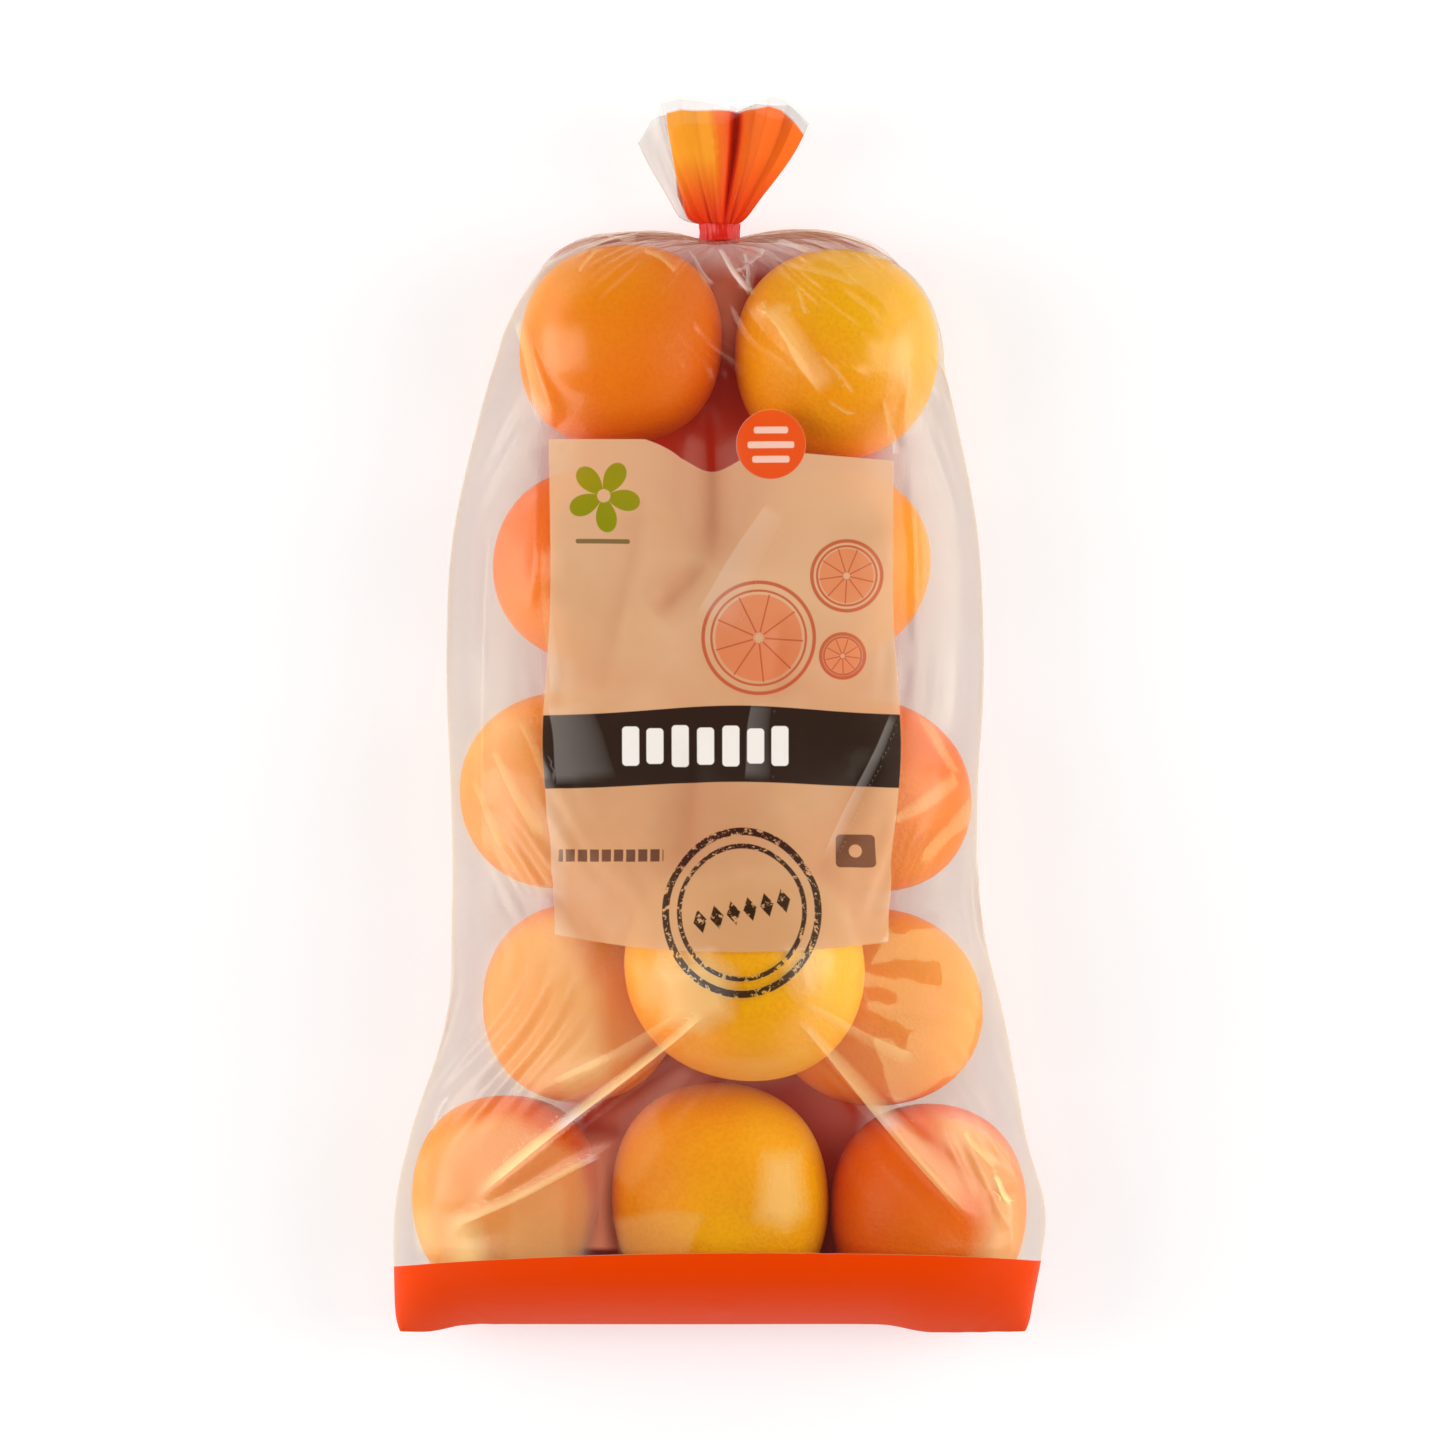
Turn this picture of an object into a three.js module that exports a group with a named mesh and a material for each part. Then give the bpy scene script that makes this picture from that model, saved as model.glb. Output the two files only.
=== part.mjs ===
// A bag of oranges: twelve oranges in a clear film bag, which has a sealed orange foot and a mouth
// gathered into a neck, tied with red tape and left to spread as a frill.
// The bag lies on its back. Millimetres: +X across it, +Y from the foot to the frill, +Z up.
// The origin is on the floor under the middle of the bag.
import * as THREE from 'three';
import { mergeVertices } from 'three/addons/utils/BufferGeometryUtils.js';

// ---- Driving dimensions -----------------------------------------------------------------

// Where each orange lies, and its radius. All lie on the floor except the last, which rests on
// others and has its own height.
const ORANGES = [
  { x: -37.5, y: 146.0, r: 38.5 },
  { x: 45.0, y: 140.5, r: 40.0 },
  { x: -50.0, y: 57.0, r: 38.5 },
  { x: 44.5, y: 56.5, r: 37.5 },
  { x: -62.0, y: -28.0, r: 40.0 },
  { x: 58.0, y: -32.0, r: 38.0 },
  { x: -53.5, y: -110.5, r: 38.5 },
  { x: 62.5, y: -112.0, r: 39.0 },
  { x: -85.0, y: -179.0, r: 36.0 },
  { x: 0.5, y: -181.0, r: 42.0 },
  { x: 82.5, y: -188.5, r: 40.0 },
  { x: 8.0, y: -95.0, r: 43.5, z: 96.5 },
];

// The bag's left and right edges, seen from above, from the foot to the shoulders.
const EDGES = [
  { y: -239, left: -125.5, right: 120.0 },
  { y: -209, left: -126.3, right: 124.5 },
  { y: -192, left: -126.0, right: 126.2 },
  { y: -163, left: -120.5, right: 118.5 },
  { y: -117, left: -105.5, right: 110.0 },
  { y: -72, left: -103.5, right: 101.0 },
  { y: -35, left: -104.5, right: 100.0 },
  { y: 24, left: -106.0, right: 102.0 },
  { y: 70, left: -103.5, right: 100.0 },
  { y: 115, left: -93.5, right: 91.5 },
  { y: 150, left: -84.5, right: 85.5 },
];

// The cross-section of the film by itself: a squarish oval, flat where it lies on the floor.
const EDGE_HEIGHT = 38; // the side fold's height above the floor
const SLACK_HEIGHT = 60; // the film's least height along the middle of the bag
const SECTION_POWER = 3.2; // how square the oval is; 2 is an ellipse
const FLAT_BOTTOM_DIP = 7; // how far the oval would pass the floor, where it lies flat
const FILM = 0.5; // film and the air under it, over an orange
const DRAPE_PASSES = 600; // rounds of smoothing that pull the film taut between the oranges

// The foot: front and back film come together in a flat heat seal.
const FOOT_Y = -236.5;
const SEAL_HEIGHT = 33;
const SEAL_THICKNESS = 2;
const SEAL_EDGE_SHARE = 0.25; // the seal's thickness at its two ends, as a share of the whole
const FOOT_SLOPE = 2.3; // fall of the back film to the floor, away from the seal
const FOOT_RUN = 30; // how far from the seal the foot turns into the body
const CORNER_DROP = 3.5; // how much further the seal reaches at its two corners
const CORNER_START = { left: -96, right: 62 };
const CORNER_RUN = 18;

// The shoulders close round the top two oranges and run in to the neck.
const SHOULDER_Y = 150;
const NECK = { x: -0.2, y: 183.5, z: 43, radius: 6.5 };
const SHOULDER_POWER = 2.1; // how square the shoulders are
const SHOULDER_RISE = 10; // how far the shoulders stand above the neck on both sides of it
const SHOULDER_PLEATS = 15;
const SHOULDER_PLEAT_DEPTH = 0.05;
const PLEATS_START = 0.3; // where the pleats begin, as a share of the way to the neck
const ROUND_START = 0.85; // where the section begins to turn round

// The tie: red tape round the neck.
const TIE = { start: 184.2, length: 5.6, thickness: 1.3, gap: 0.3, bevel: 0.4, sides: 32 };

// The frill: the gathered film spreads into a flat, pleated fan.
const FRILL = { start: 190.4, length: 46.5, left: 29.5, right: 33, depth: 13, spread: 0.82 };
const FRILL_PLEATS = { count: 8, depth: 0.16, turn: 0.6 };
const FRILL_EDGE = { wave: 3, turn: 1.1 }; // how far the mouth's edge goes up and down

// How finely the bag is faceted.
const ROW_POINTS = 30; // steps across the front, and as many across the back
const BODY_STEPS = 46;
const SHOULDER_STEPS = 12;
const NECK_STEPS = 2;
const FRILL_STEPS = 9;

// ---- Shared arithmetic ------------------------------------------------------------------

function blend(a, b, share) {
  return a + (b - a) * share;
}

function smoothStep(low, high, value) {
  return THREE.MathUtils.smoothstep(value, low, high);
}

const edgeCurve = new THREE.CubicInterpolant(
  EDGES.map((edge) => edge.y),
  EDGES.flatMap((edge) => [edge.left, edge.right]),
  2,
  new Float64Array(2),
);

function edgesAt(y) {
  const [left, right] = edgeCurve.evaluate(y);
  return { middle: (left + right) / 2, half: (right - left) / 2 };
}

// ---- Rings round the bag ----------------------------------------------------------------

// A ring goes over the front from the right edge to the left, and back under it. across runs
// from 1 to -1 over the front and back to 1; steps are closer together near the edges.
function ringPlace(index) {
  const front = index < ROW_POINTS;
  const step = front ? index / ROW_POINTS : 2 - index / ROW_POINTS;
  const even = 1 - 2 * step;
  return { index, front, across: even * (1.5 - 0.5 * even * even) };
}

function ring(pointAt) {
  return Array.from({ length: 2 * ROW_POINTS }, (_, index) => pointAt(ringPlace(index)));
}

function rings(count, ringAt) {
  return Array.from({ length: count }, (_, step) => ringAt((step + 1) / count));
}

// The ring's own angle: 0 at the right edge, a quarter turn at the middle of the front.
function turnOf({ index }) {
  return (Math.PI * index) / ROW_POINTS;
}

// How far the oval stands off its edges at this place, from 0 at an edge to 1.
function ovalHeight(across) {
  return Math.max(0, 1 - Math.abs(across) ** SECTION_POWER) ** (1 / SECTION_POWER);
}

// ---- The front film, draped over the oranges --------------------------------------------

function rowY(row) {
  return blend(FOOT_Y, SHOULDER_Y, row / BODY_STEPS);
}

function edgeHeight(y) {
  return blend(SEAL_HEIGHT, EDGE_HEIGHT, smoothStep(0, FOOT_RUN, y - FOOT_Y));
}

function sealHalf(across) {
  return (SEAL_THICKNESS / 2) * blend(SEAL_EDGE_SHARE, 1, ovalHeight(across));
}

function orangeTop(orange, x, y) {
  const away = Math.hypot(x - orange.x, y - orange.y);
  const radius = orange.r + FILM;
  return away < radius ? (orange.z ?? orange.r) + Math.sqrt(radius ** 2 - away ** 2) : 0;
}

// The lowest that the front film can be at a place: on an orange, or at its own slack oval.
function leastHeight(row, across) {
  const y = rowY(row);
  const { middle, half } = edgesAt(y);
  const x = middle + half * across;
  const closing = smoothStep(0, FOOT_RUN, y - FOOT_Y);
  const oval = blend(edgeHeight(y), SLACK_HEIGHT, ovalHeight(across) * closing);
  return Math.max(oval, ...ORANGES.map((orange) => orangeTop(orange, x, y)));
}

// Each inner point moves to the mean of its four neighbours, but never below its least height.
// The seal and the two edges stay put, and the last row follows the one before it.
function drapedFront() {
  const rows = Array.from({ length: BODY_STEPS + 1 }, (_, row) => row);
  const columns = Array.from({ length: ROW_POINTS + 1 }, (_, index) => ringPlace(index).across);
  const least = rows.map((row) => columns.map((across) => leastHeight(row, across)));
  const height = least.map((values) => [...values]);
  height[0] = columns.map((across) => SEAL_HEIGHT + sealHalf(across));
  for (let pass = 0; pass < DRAPE_PASSES; pass += 1) {
    for (let row = 1; row <= BODY_STEPS; row += 1) {
      const after = height[Math.min(row + 1, BODY_STEPS)];
      for (let index = 1; index < ROW_POINTS; index += 1) {
        const along = height[row - 1][index] + after[index];
        const beside = height[row][index - 1] + height[row][index + 1];
        height[row][index] = Math.max(least[row][index], (along + beside) / 4);
      }
    }
  }
  return height;
}

const frontHeight = drapedFront();

// ---- The foot and the body --------------------------------------------------------------

// The two corners of the foot hang a little lower than its middle.
function cornerDrop(x) {
  const left = 1 - smoothStep(CORNER_START.left - CORNER_RUN, CORNER_START.left, x);
  const right = smoothStep(CORNER_START.right, CORNER_START.right + CORNER_RUN, x);
  return CORNER_DROP * Math.max(left, right);
}

function backHeight(y, across) {
  const edge = edgeHeight(y);
  const oval = Math.max(0, edge - (edge + FLAT_BOTTOM_DIP) * ovalHeight(across));
  const closing = SEAL_HEIGHT - sealHalf(across) - (y - FOOT_Y) * FOOT_SLOPE;
  return Math.max(oval, closing);
}

function bodyPoint(place, row) {
  const y = rowY(row);
  const { middle, half } = edgesAt(y);
  const x = middle + half * place.across;
  const z = place.front ? frontHeight[row][place.index] : backHeight(y, place.across);
  return new THREE.Vector3(x, y, z);
}

function bodyRing(row) {
  const footShare = 1 - smoothStep(0, FOOT_RUN, rowY(row) - FOOT_Y);
  return ring((place) => {
    const point = bodyPoint(place, row);
    point.y -= cornerDrop(point.x) * footShare;
    return point;
  });
}

function bodyRings() {
  return Array.from({ length: BODY_STEPS + 1 }, (_, row) => bodyRing(row));
}

// ---- The shoulders and the neck ---------------------------------------------------------

function onNeck(turn, y) {
  const { x, z, radius } = NECK;
  return new THREE.Vector3(x + radius * Math.cos(turn), y, z + radius * Math.sin(turn));
}

// The body's last section shrinks towards the neck, and turns from lumpy to round on its way.
function shoulderRing(share) {
  const angle = (share * Math.PI) / 2;
  const rise = Math.sin(angle) ** (2 / SHOULDER_POWER);
  const fall = Math.cos(angle) ** (2 / SHOULDER_POWER);
  const size = blend(NECK.radius / edgesAt(SHOULDER_Y).half, 1, fall);
  const pleating = SHOULDER_PLEAT_DEPTH * smoothStep(PLEATS_START, 1, share);
  return ring((place) => {
    const turn = turnOf(place);
    const pleat = 1 + pleating * Math.cos(SHOULDER_PLEATS * turn);
    const hump = SHOULDER_RISE * Math.cos(turn) ** 2 * rise * (1 - share ** 4);
    const y = blend(SHOULDER_Y, NECK.y, rise) + hump;
    const section = bodyPoint(place, BODY_STEPS);
    const lumpy = new THREE.Vector3(
      NECK.x + (section.x - NECK.x) * size * pleat,
      y,
      NECK.z + (section.z - NECK.z) * size * pleat,
    );
    return lumpy.lerp(onNeck(turn, y), smoothStep(ROUND_START, 1, share));
  });
}

function neckRing(share) {
  return ring((place) => onNeck(turnOf(place), blend(NECK.y, FRILL.start, share)));
}

// ---- The frill --------------------------------------------------------------------------

function frillRing(share) {
  const spread = share ** FRILL.spread;
  return ring((place) => {
    const turn = turnOf(place);
    const side = Math.cos(turn) > 0 ? FRILL.right : FRILL.left;
    const fold = Math.cos(FRILL_PLEATS.count * turn + FRILL_PLEATS.turn);
    const pleat = 1 + FRILL_PLEATS.depth * spread * fold;
    const width = blend(NECK.radius, side, spread) * pleat;
    const depth = blend(NECK.radius, FRILL.depth, spread) * pleat;
    const edgeWave = FRILL_EDGE.wave * share ** 3 * Math.cos(2 * turn + FRILL_EDGE.turn);
    return new THREE.Vector3(
      NECK.x + width * Math.cos(turn),
      FRILL.start + FRILL.length * share + edgeWave,
      NECK.z + depth * Math.sin(turn),
    );
  });
}

// ---- From rings to a solid --------------------------------------------------------------

// Each ring is joined to the next, and the two ends are closed from front to back.
function loft(ringList) {
  const around = ringList[0].length;
  const faces = [];
  for (let row = 0; row + 1 < ringList.length; row += 1) {
    for (let index = 0; index < around; index += 1) {
      const here = row * around + index;
      const beside = row * around + ((index + 1) % around);
      addFace(faces, [here, here + around, beside + around]);
      addFace(faces, [here, beside + around, beside]);
    }
  }
  closeEnd(faces, 0, around, false);
  closeEnd(faces, (ringList.length - 1) * around, around, true);
  const geometry = new THREE.BufferGeometry();
  const places = ringList.flat().flatMap((point) => point.toArray());
  geometry.setAttribute('position', new THREE.Float32BufferAttribute(places, 3));
  geometry.setIndex(faces);
  return geometry;
}

// Front and back points that lie above each other are joined by a strip across the end.
function closeEnd(faces, first, around, far) {
  for (let index = 0; index < around / 2; index += 1) {
    const front = first + index;
    const back = first + ((around - index) % around);
    const backNext = first + around - index - 1;
    addFace(faces, [front, front + 1, backNext], far);
    addFace(faces, [front, backNext, back], far);
  }
}

// A face with two corners in one place, as at a ring's two edges, is left out.
function addFace(faces, corners, turnedOver = false) {
  if (new Set(corners).size === 3) {
    faces.push(...(turnedOver ? corners.reverse() : corners));
  }
}

function material(color, roughness) {
  return new THREE.MeshStandardMaterial({ color, roughness, metalness: 0 });
}

function makeBag() {
  const body = bodyRings();
  const shoulders = rings(SHOULDER_STEPS, shoulderRing);
  const neck = rings(NECK_STEPS, neckRing);
  const frill = rings(FRILL_STEPS, frillRing);
  const bag = new THREE.Mesh(loft([...body, ...shoulders, ...neck, ...frill]), material(0xf08a32, 0.3));
  bag.name = 'bag';
  return bag;
}

// A flat band bent round the neck, with its outer edges bevelled.
function makeNeckTie() {
  const inside = NECK.radius + TIE.gap;
  const outside = inside + TIE.thickness;
  const profile = [
    new THREE.Vector2(inside, 0),
    new THREE.Vector2(outside - TIE.bevel, 0),
    new THREE.Vector2(outside, TIE.bevel),
    new THREE.Vector2(outside, TIE.length - TIE.bevel),
    new THREE.Vector2(outside - TIE.bevel, TIE.length),
    new THREE.Vector2(inside, TIE.length),
    new THREE.Vector2(inside, 0),
  ];
  const band = new THREE.LatheGeometry(profile, TIE.sides);
  band.deleteAttribute('normal');
  band.deleteAttribute('uv');
  const tie = new THREE.Mesh(mergeVertices(band), material(0xd8260f, 0.35));
  tie.position.set(NECK.x, TIE.start, NECK.z);
  tie.name = 'neck_tie';
  return tie;
}

const bagOfOranges = new THREE.Group();
bagOfOranges.add(makeBag(), makeNeckTie());

export default bagOfOranges;
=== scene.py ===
import math

import bmesh
import bpy
import numpy as np
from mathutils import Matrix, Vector


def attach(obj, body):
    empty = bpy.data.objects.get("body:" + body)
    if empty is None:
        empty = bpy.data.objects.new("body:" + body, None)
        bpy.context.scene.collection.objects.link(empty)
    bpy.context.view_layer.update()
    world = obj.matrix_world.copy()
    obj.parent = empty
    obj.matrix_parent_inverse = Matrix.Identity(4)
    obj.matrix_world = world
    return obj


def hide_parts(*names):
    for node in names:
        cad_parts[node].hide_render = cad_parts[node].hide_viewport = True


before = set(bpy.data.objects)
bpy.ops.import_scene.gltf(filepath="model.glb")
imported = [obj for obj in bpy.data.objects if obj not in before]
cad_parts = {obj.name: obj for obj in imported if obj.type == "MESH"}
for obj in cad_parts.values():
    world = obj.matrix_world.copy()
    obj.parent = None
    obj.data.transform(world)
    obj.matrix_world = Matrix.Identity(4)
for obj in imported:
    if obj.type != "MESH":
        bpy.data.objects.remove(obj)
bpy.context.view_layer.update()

# ---- The oranges ------------------------------------------------------------------------
# Twelve ripe juice oranges, each a little out of round, with a waxed and finely pitted peel and
# a dry button where the stem was. They lie loose in the bag, one of them on top of the others.

MM = 0.001

# Place of the centre and three radii in mm, how far the fruit is pressed square, from 0 to 1,
# and how golden the peel is, from 0, deep orange, to 1.
ORANGES = {
    "orange_shoulder_left": ((-38.6, 144.0, 39.2), (40.4, 39.8, 39.2), 0.4, 0.25),
    "orange_shoulder_right": ((45.0, 140.5, 41.2), (41.2, 41.2, 41.2), 0.2, 0.75),
    "orange_upper_left": ((-49.6, 58.6, 39.2), (39.2, 39.2, 39.2), 0.1, 0.15),
    "orange_upper_right": ((43.8, 60.0, 38.2), (38.2, 38.2, 38.2), 0.1, 0.35),
    "orange_middle_left": ((-62.2, -28.0, 39.8), (39.8, 39.8, 39.8), 0.1, 0.4),
    "orange_middle_right": ((59.2, -30.5, 38.8), (38.8, 38.8, 38.8), 0.1, 0.25),
    "orange_lower_left": ((-54.0, -110.0, 39.4), (39.4, 39.4, 39.4), 0.15, 0.3),
    "orange_lower_right": ((60.8, -111.9, 38.6), (42.4, 39.0, 38.6), 0.1, 0.3),
    "orange_foot_left": ((-83.4, -184.6, 38.0), (37.2, 40.6, 38.0), 0.3, 0.4),
    "orange_foot_middle": ((0.4, -184.8, 43.0), (44.2, 45.2, 43.0), 0.3, 0.8),
    "orange_foot_right": ((80.4, -190.0, 39.2), (39.2, 41.0, 39.2), 0.3, 0.05),
    "orange_on_top": ((9.4, -93.0, 100.2), (46.4, 44.4, 43.0), 0.1, 0.85),
}
PEEL_DETAIL = 5  # subdivisions of each orange's mesh
SHORTER = 0.035  # how much less an orange measures from stem to tip than across
LUMPINESS = 0.006  # the size of each broad swelling, as a share of the radius
LUMPS, LUMP_PACE = 5, 1.6  # how many, and how fast they follow one another round the fruit
STEM_HOLLOW = (0.03, 0.035)  # depth as a share of the radius, and width as a share of the turn
BUTTON_RADIUS = 3.2
BUTTON_HEIGHT = 0.9
BUTTON_POINTS = 5
SHAPE_SEED, CHEEK_SEED = 100, 25123
CHEEK_TONE = 0.3  # how much more golden the cheek is that had more sun


def mesh_piece(name, points, faces):
    """Makes an object from points in metres and lists of corners, and puts it in the scene."""
    mesh = bpy.data.meshes.new(name)
    mesh.from_pydata(points, [], faces)
    mesh.shade_smooth()
    mesh.update()
    piece = bpy.data.objects.new(name, mesh)
    bpy.context.scene.collection.objects.link(piece)
    return piece


def set_attribute(piece, name, values):
    """Keeps a number or a vector at each corner of the mesh, for the material to read."""
    kind = "FLOAT" if values.ndim == 1 else "FLOAT_VECTOR"
    layer = piece.data.attributes.new(name, kind, "POINT")
    layer.data.foreach_set("value" if kind == "FLOAT" else "vector", values.astype(np.float32).ravel())


def ball_mesh(detail):
    """Points and faces of an even ball of radius 1."""
    shape = bmesh.new()
    bmesh.ops.create_icosphere(shape, subdivisions=detail, radius=1.0)
    points = np.array([corner.co[:] for corner in shape.verts])
    faces = [[corner.index for corner in face.verts] for face in shape.faces]
    shape.free()
    return points, faces


def roundness(parts, square):
    """Distance of each place from the centre, in radii, of a ball pressed square by that share."""
    parts = np.abs(parts)
    return (1 - square) * np.sqrt((parts ** 2).sum(axis=0)) + square * np.cbrt((parts ** 3).sum(axis=0))


class Peel:
    """One orange's outer shape: its distance from the centre in each direction, in mm."""

    def __init__(self, number, centre, radii, square):
        random = np.random.default_rng(SHAPE_SEED + number)
        self.centre = np.array(centre)
        self.radii = np.array(radii)
        self.square = square
        # The stem points sideways or down, where the fruit was turned as the bag was filled.
        turn = random.uniform(0, 2 * math.pi)
        dip = random.uniform(-0.9, -0.2)
        level = math.sqrt(1 - dip * dip)
        self.stem = np.array([level * math.cos(turn), level * math.sin(turn), dip])
        self.lump_ways = random.normal(size=(LUMPS, 3)) * LUMP_PACE
        self.lump_starts = random.uniform(0, 2 * math.pi, LUMPS)

    def reach(self, ways):
        """Distance from the centre to the peel along each unit direction."""
        along_stem = ways @ self.stem
        share = 1.0 - SHORTER * along_stem ** 2
        for way, start in zip(self.lump_ways, self.lump_starts):
            share = share + LUMPINESS * (np.cos(ways @ way + start) - 0.6)
        depth, width = STEM_HOLLOW
        share = share - depth * np.exp(-(1 - along_stem) / width)
        share = share - 0.4 * depth * np.exp(-(1 + along_stem) / width)
        return share / roundness((ways / self.radii).T, self.square)

    def outside(self, points):
        """About how far each point lies outside the orange, and less than 0 inside it."""
        parts = np.moveaxis((points - self.centre) / self.radii, -1, 0)
        return (roundness(parts, self.square) - 1) * self.radii.mean()


def button_mesh(peel):
    """The dry, five-pointed button that is left on the peel where the stem was."""
    side = np.cross(peel.stem, [0.0, 0.0, 1.0])
    side /= np.linalg.norm(side)
    other = np.cross(peel.stem, side)
    steps = 8 * BUTTON_POINTS
    rings = [(0.25, 1.0), (0.45, 0.75), (0.7, 0.5), (1.0, 0.1), (1.02, -0.6)]
    stem_reach = peel.reach(peel.stem[None])[0]
    points = [peel.stem * (stem_reach + BUTTON_HEIGHT * 0.7)]
    for size, height in rings:
        for step in range(steps):
            turn = 2 * math.pi * step / steps
            pointed = 1 + 0.28 * size * math.cos(BUTTON_POINTS * turn)
            across = BUTTON_RADIUS * size * pointed
            offset = across * (math.cos(turn) * side + math.sin(turn) * other)
            way = peel.stem * stem_reach + offset
            way /= np.linalg.norm(way)
            points.append(way * (peel.reach(way[None])[0] + BUTTON_HEIGHT * height))
    faces = [[0, 1 + step, 1 + (step + 1) % steps] for step in range(steps)]
    for ring in range(len(rings) - 1):
        first = 1 + ring * steps
        for step in range(steps):
            after = (step + 1) % steps
            faces.append([first + step, first + steps + step, first + steps + after, first + after])
    return np.array(points), faces


class Field:
    """A number that varies over a surface. Sums and products of fields add Math nodes."""

    def __init__(self, socket):
        self.socket = socket

    def math(self, operation, *others, clamped=False):
        settings = {"operation": operation, "use_clamp": clamped}
        return Field(add_node(self.socket.id_data, "ShaderNodeMath", settings, (self, *others)).outputs[0])

    def __add__(self, other):
        return self.math("ADD", other)

    def __sub__(self, other):
        return self.math("SUBTRACT", other)

    def __mul__(self, other):
        return self.math("MULTIPLY", other)

    def __truediv__(self, other):
        return self.math("DIVIDE", other)

    def __pow__(self, other):
        return self.math("POWER", other)

    def __abs__(self):
        return self.math("ABSOLUTE")

    def __rsub__(self, other):
        return (self * -1.0).math("ADD", other)

    __radd__ = __add__
    __rmul__ = __mul__

    def clamped(self):
        return self.math("ADD", 0.0, clamped=True)

    def most(self, other):
        return self.math("MAXIMUM", other)

    def above(self, edge, blur):
        """1 where the field is above edge and 0 below it, with a soft edge that is blur wide."""
        return ((self - edge) * (1.0 / blur)).math("ADD", 0.5, clamped=True)


def add_node(tree, kind, settings=None, sockets=()):
    """Adds a node: its settings first, then its sockets by name or in order, as values or links."""
    node = tree.nodes.new(kind)
    for name, value in (settings or {}).items():
        if name == "stops":
            set_stops(node.color_ramp, value)
        else:
            setattr(node, name, value)
    named = sockets.items() if isinstance(sockets, dict) else enumerate(sockets)
    for name, value in named:
        if isinstance(value, Field):
            value = value.socket
        if isinstance(value, bpy.types.NodeSocket):
            tree.links.new(value, node.inputs[name])
        else:
            node.inputs[name].default_value = value
    return node


def set_stops(ramp, stops):
    while len(ramp.elements) < len(stops):
        ramp.elements.new(1.0)
    for element, (place, colour) in zip(ramp.elements, stops):
        element.position = place
        element.color = colour


def new_material(name):
    material = bpy.data.materials.new(name)
    material.use_nodes = True
    material.node_tree.nodes.clear()
    return material, material.node_tree


def finish_material(tree, shader):
    add_node(tree, "ShaderNodeOutputMaterial", sockets={"Surface": shader})


def linear(red, green, blue):
    """A colour given as it shows on a screen, 0 to 255, as light."""
    shares = [value / 255 for value in (red, green, blue)]
    light = [s / 12.92 if s <= 0.04045 else ((s + 0.055) / 1.055) ** 2.4 for s in shares]
    return (*light, 1.0)


def mix_colours(tree, share, first, second):
    """first where share is 0, second where it is 1."""
    settings = {"data_type": "RGBA"}
    sockets = {"Factor": share, 6: first, 7: second}
    return add_node(tree, "ShaderNodeMix", settings, sockets).outputs[2]


def object_place(tree):
    return add_node(tree, "ShaderNodeTexCoord").outputs["Object"]


def named_field(tree, name):
    return Field(add_node(tree, "ShaderNodeAttribute", {"attribute_name": name}).outputs["Fac"])


def noise(tree, place, scale, detail=2.0, roughness=0.5):
    sockets = {"Vector": place, "Scale": scale, "Detail": detail, "Roughness": roughness}
    return Field(add_node(tree, "ShaderNodeTexNoise", sockets=sockets).outputs[0])


def peel_material():
    """Waxed orange peel: golden to deep orange, with fine oil glands that show as pits."""
    material, tree = new_material("orange_peel")
    place = object_place(tree)
    patches = noise(tree, place, 22.0, 3.0)
    tone = (named_field(tree, "golden") + (patches - 0.5) * 0.5).clamped()
    ramp = add_node(tree, "ShaderNodeValToRGB", {"stops": [
        (0.0, linear(240, 108, 0)),
        (0.45, linear(246, 142, 0)),
        (0.8, linear(248, 168, 0)),
        (1.0, linear(250, 186, 0)),
    ]}, {"Fac": tone}).outputs["Color"]
    pits = add_node(tree, "ShaderNodeTexVoronoi", {"feature": "SMOOTH_F1"},
                    {"Vector": place, "Scale": 640.0, "Smoothness": 0.6}).outputs["Distance"]
    pits = Field(pits).math("SUBTRACT", 0.12, clamped=True)
    grain = noise(tree, place, 1500.0)
    speckled = mix_colours(tree, (0.5 - pits).math("MULTIPLY", 0.35, clamped=True), ramp, linear(222, 96, 0))
    bump = add_node(tree, "ShaderNodeBump", sockets={
        "Height": pits + grain * 0.15, "Strength": 0.35, "Distance": 0.0006})
    peel = add_node(tree, "ShaderNodeBsdfPrincipled", sockets={
        "Base Color": speckled, "Roughness": 0.45, "Specular IOR Level": 0.18,
        "Coat Weight": 0.03, "Coat Roughness": 0.3, "Normal": bump.outputs[0]})
    finish_material(tree, peel.outputs[0])
    return material


def button_material():
    """The button: dry and woody, green-brown."""
    material, tree = new_material("stem_button")
    streaks = noise(tree, object_place(tree), 900.0, 3.0)
    colour = mix_colours(tree, streaks, linear(96, 92, 44), linear(142, 124, 70))
    bump = add_node(tree, "ShaderNodeBump", sockets={"Height": streaks, "Strength": 0.5, "Distance": 0.0004})
    dry = add_node(tree, "ShaderNodeBsdfPrincipled", sockets={
        "Base Color": colour, "Roughness": 0.8, "Normal": bump.outputs[0]})
    finish_material(tree, dry.outputs[0])
    return material


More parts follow.
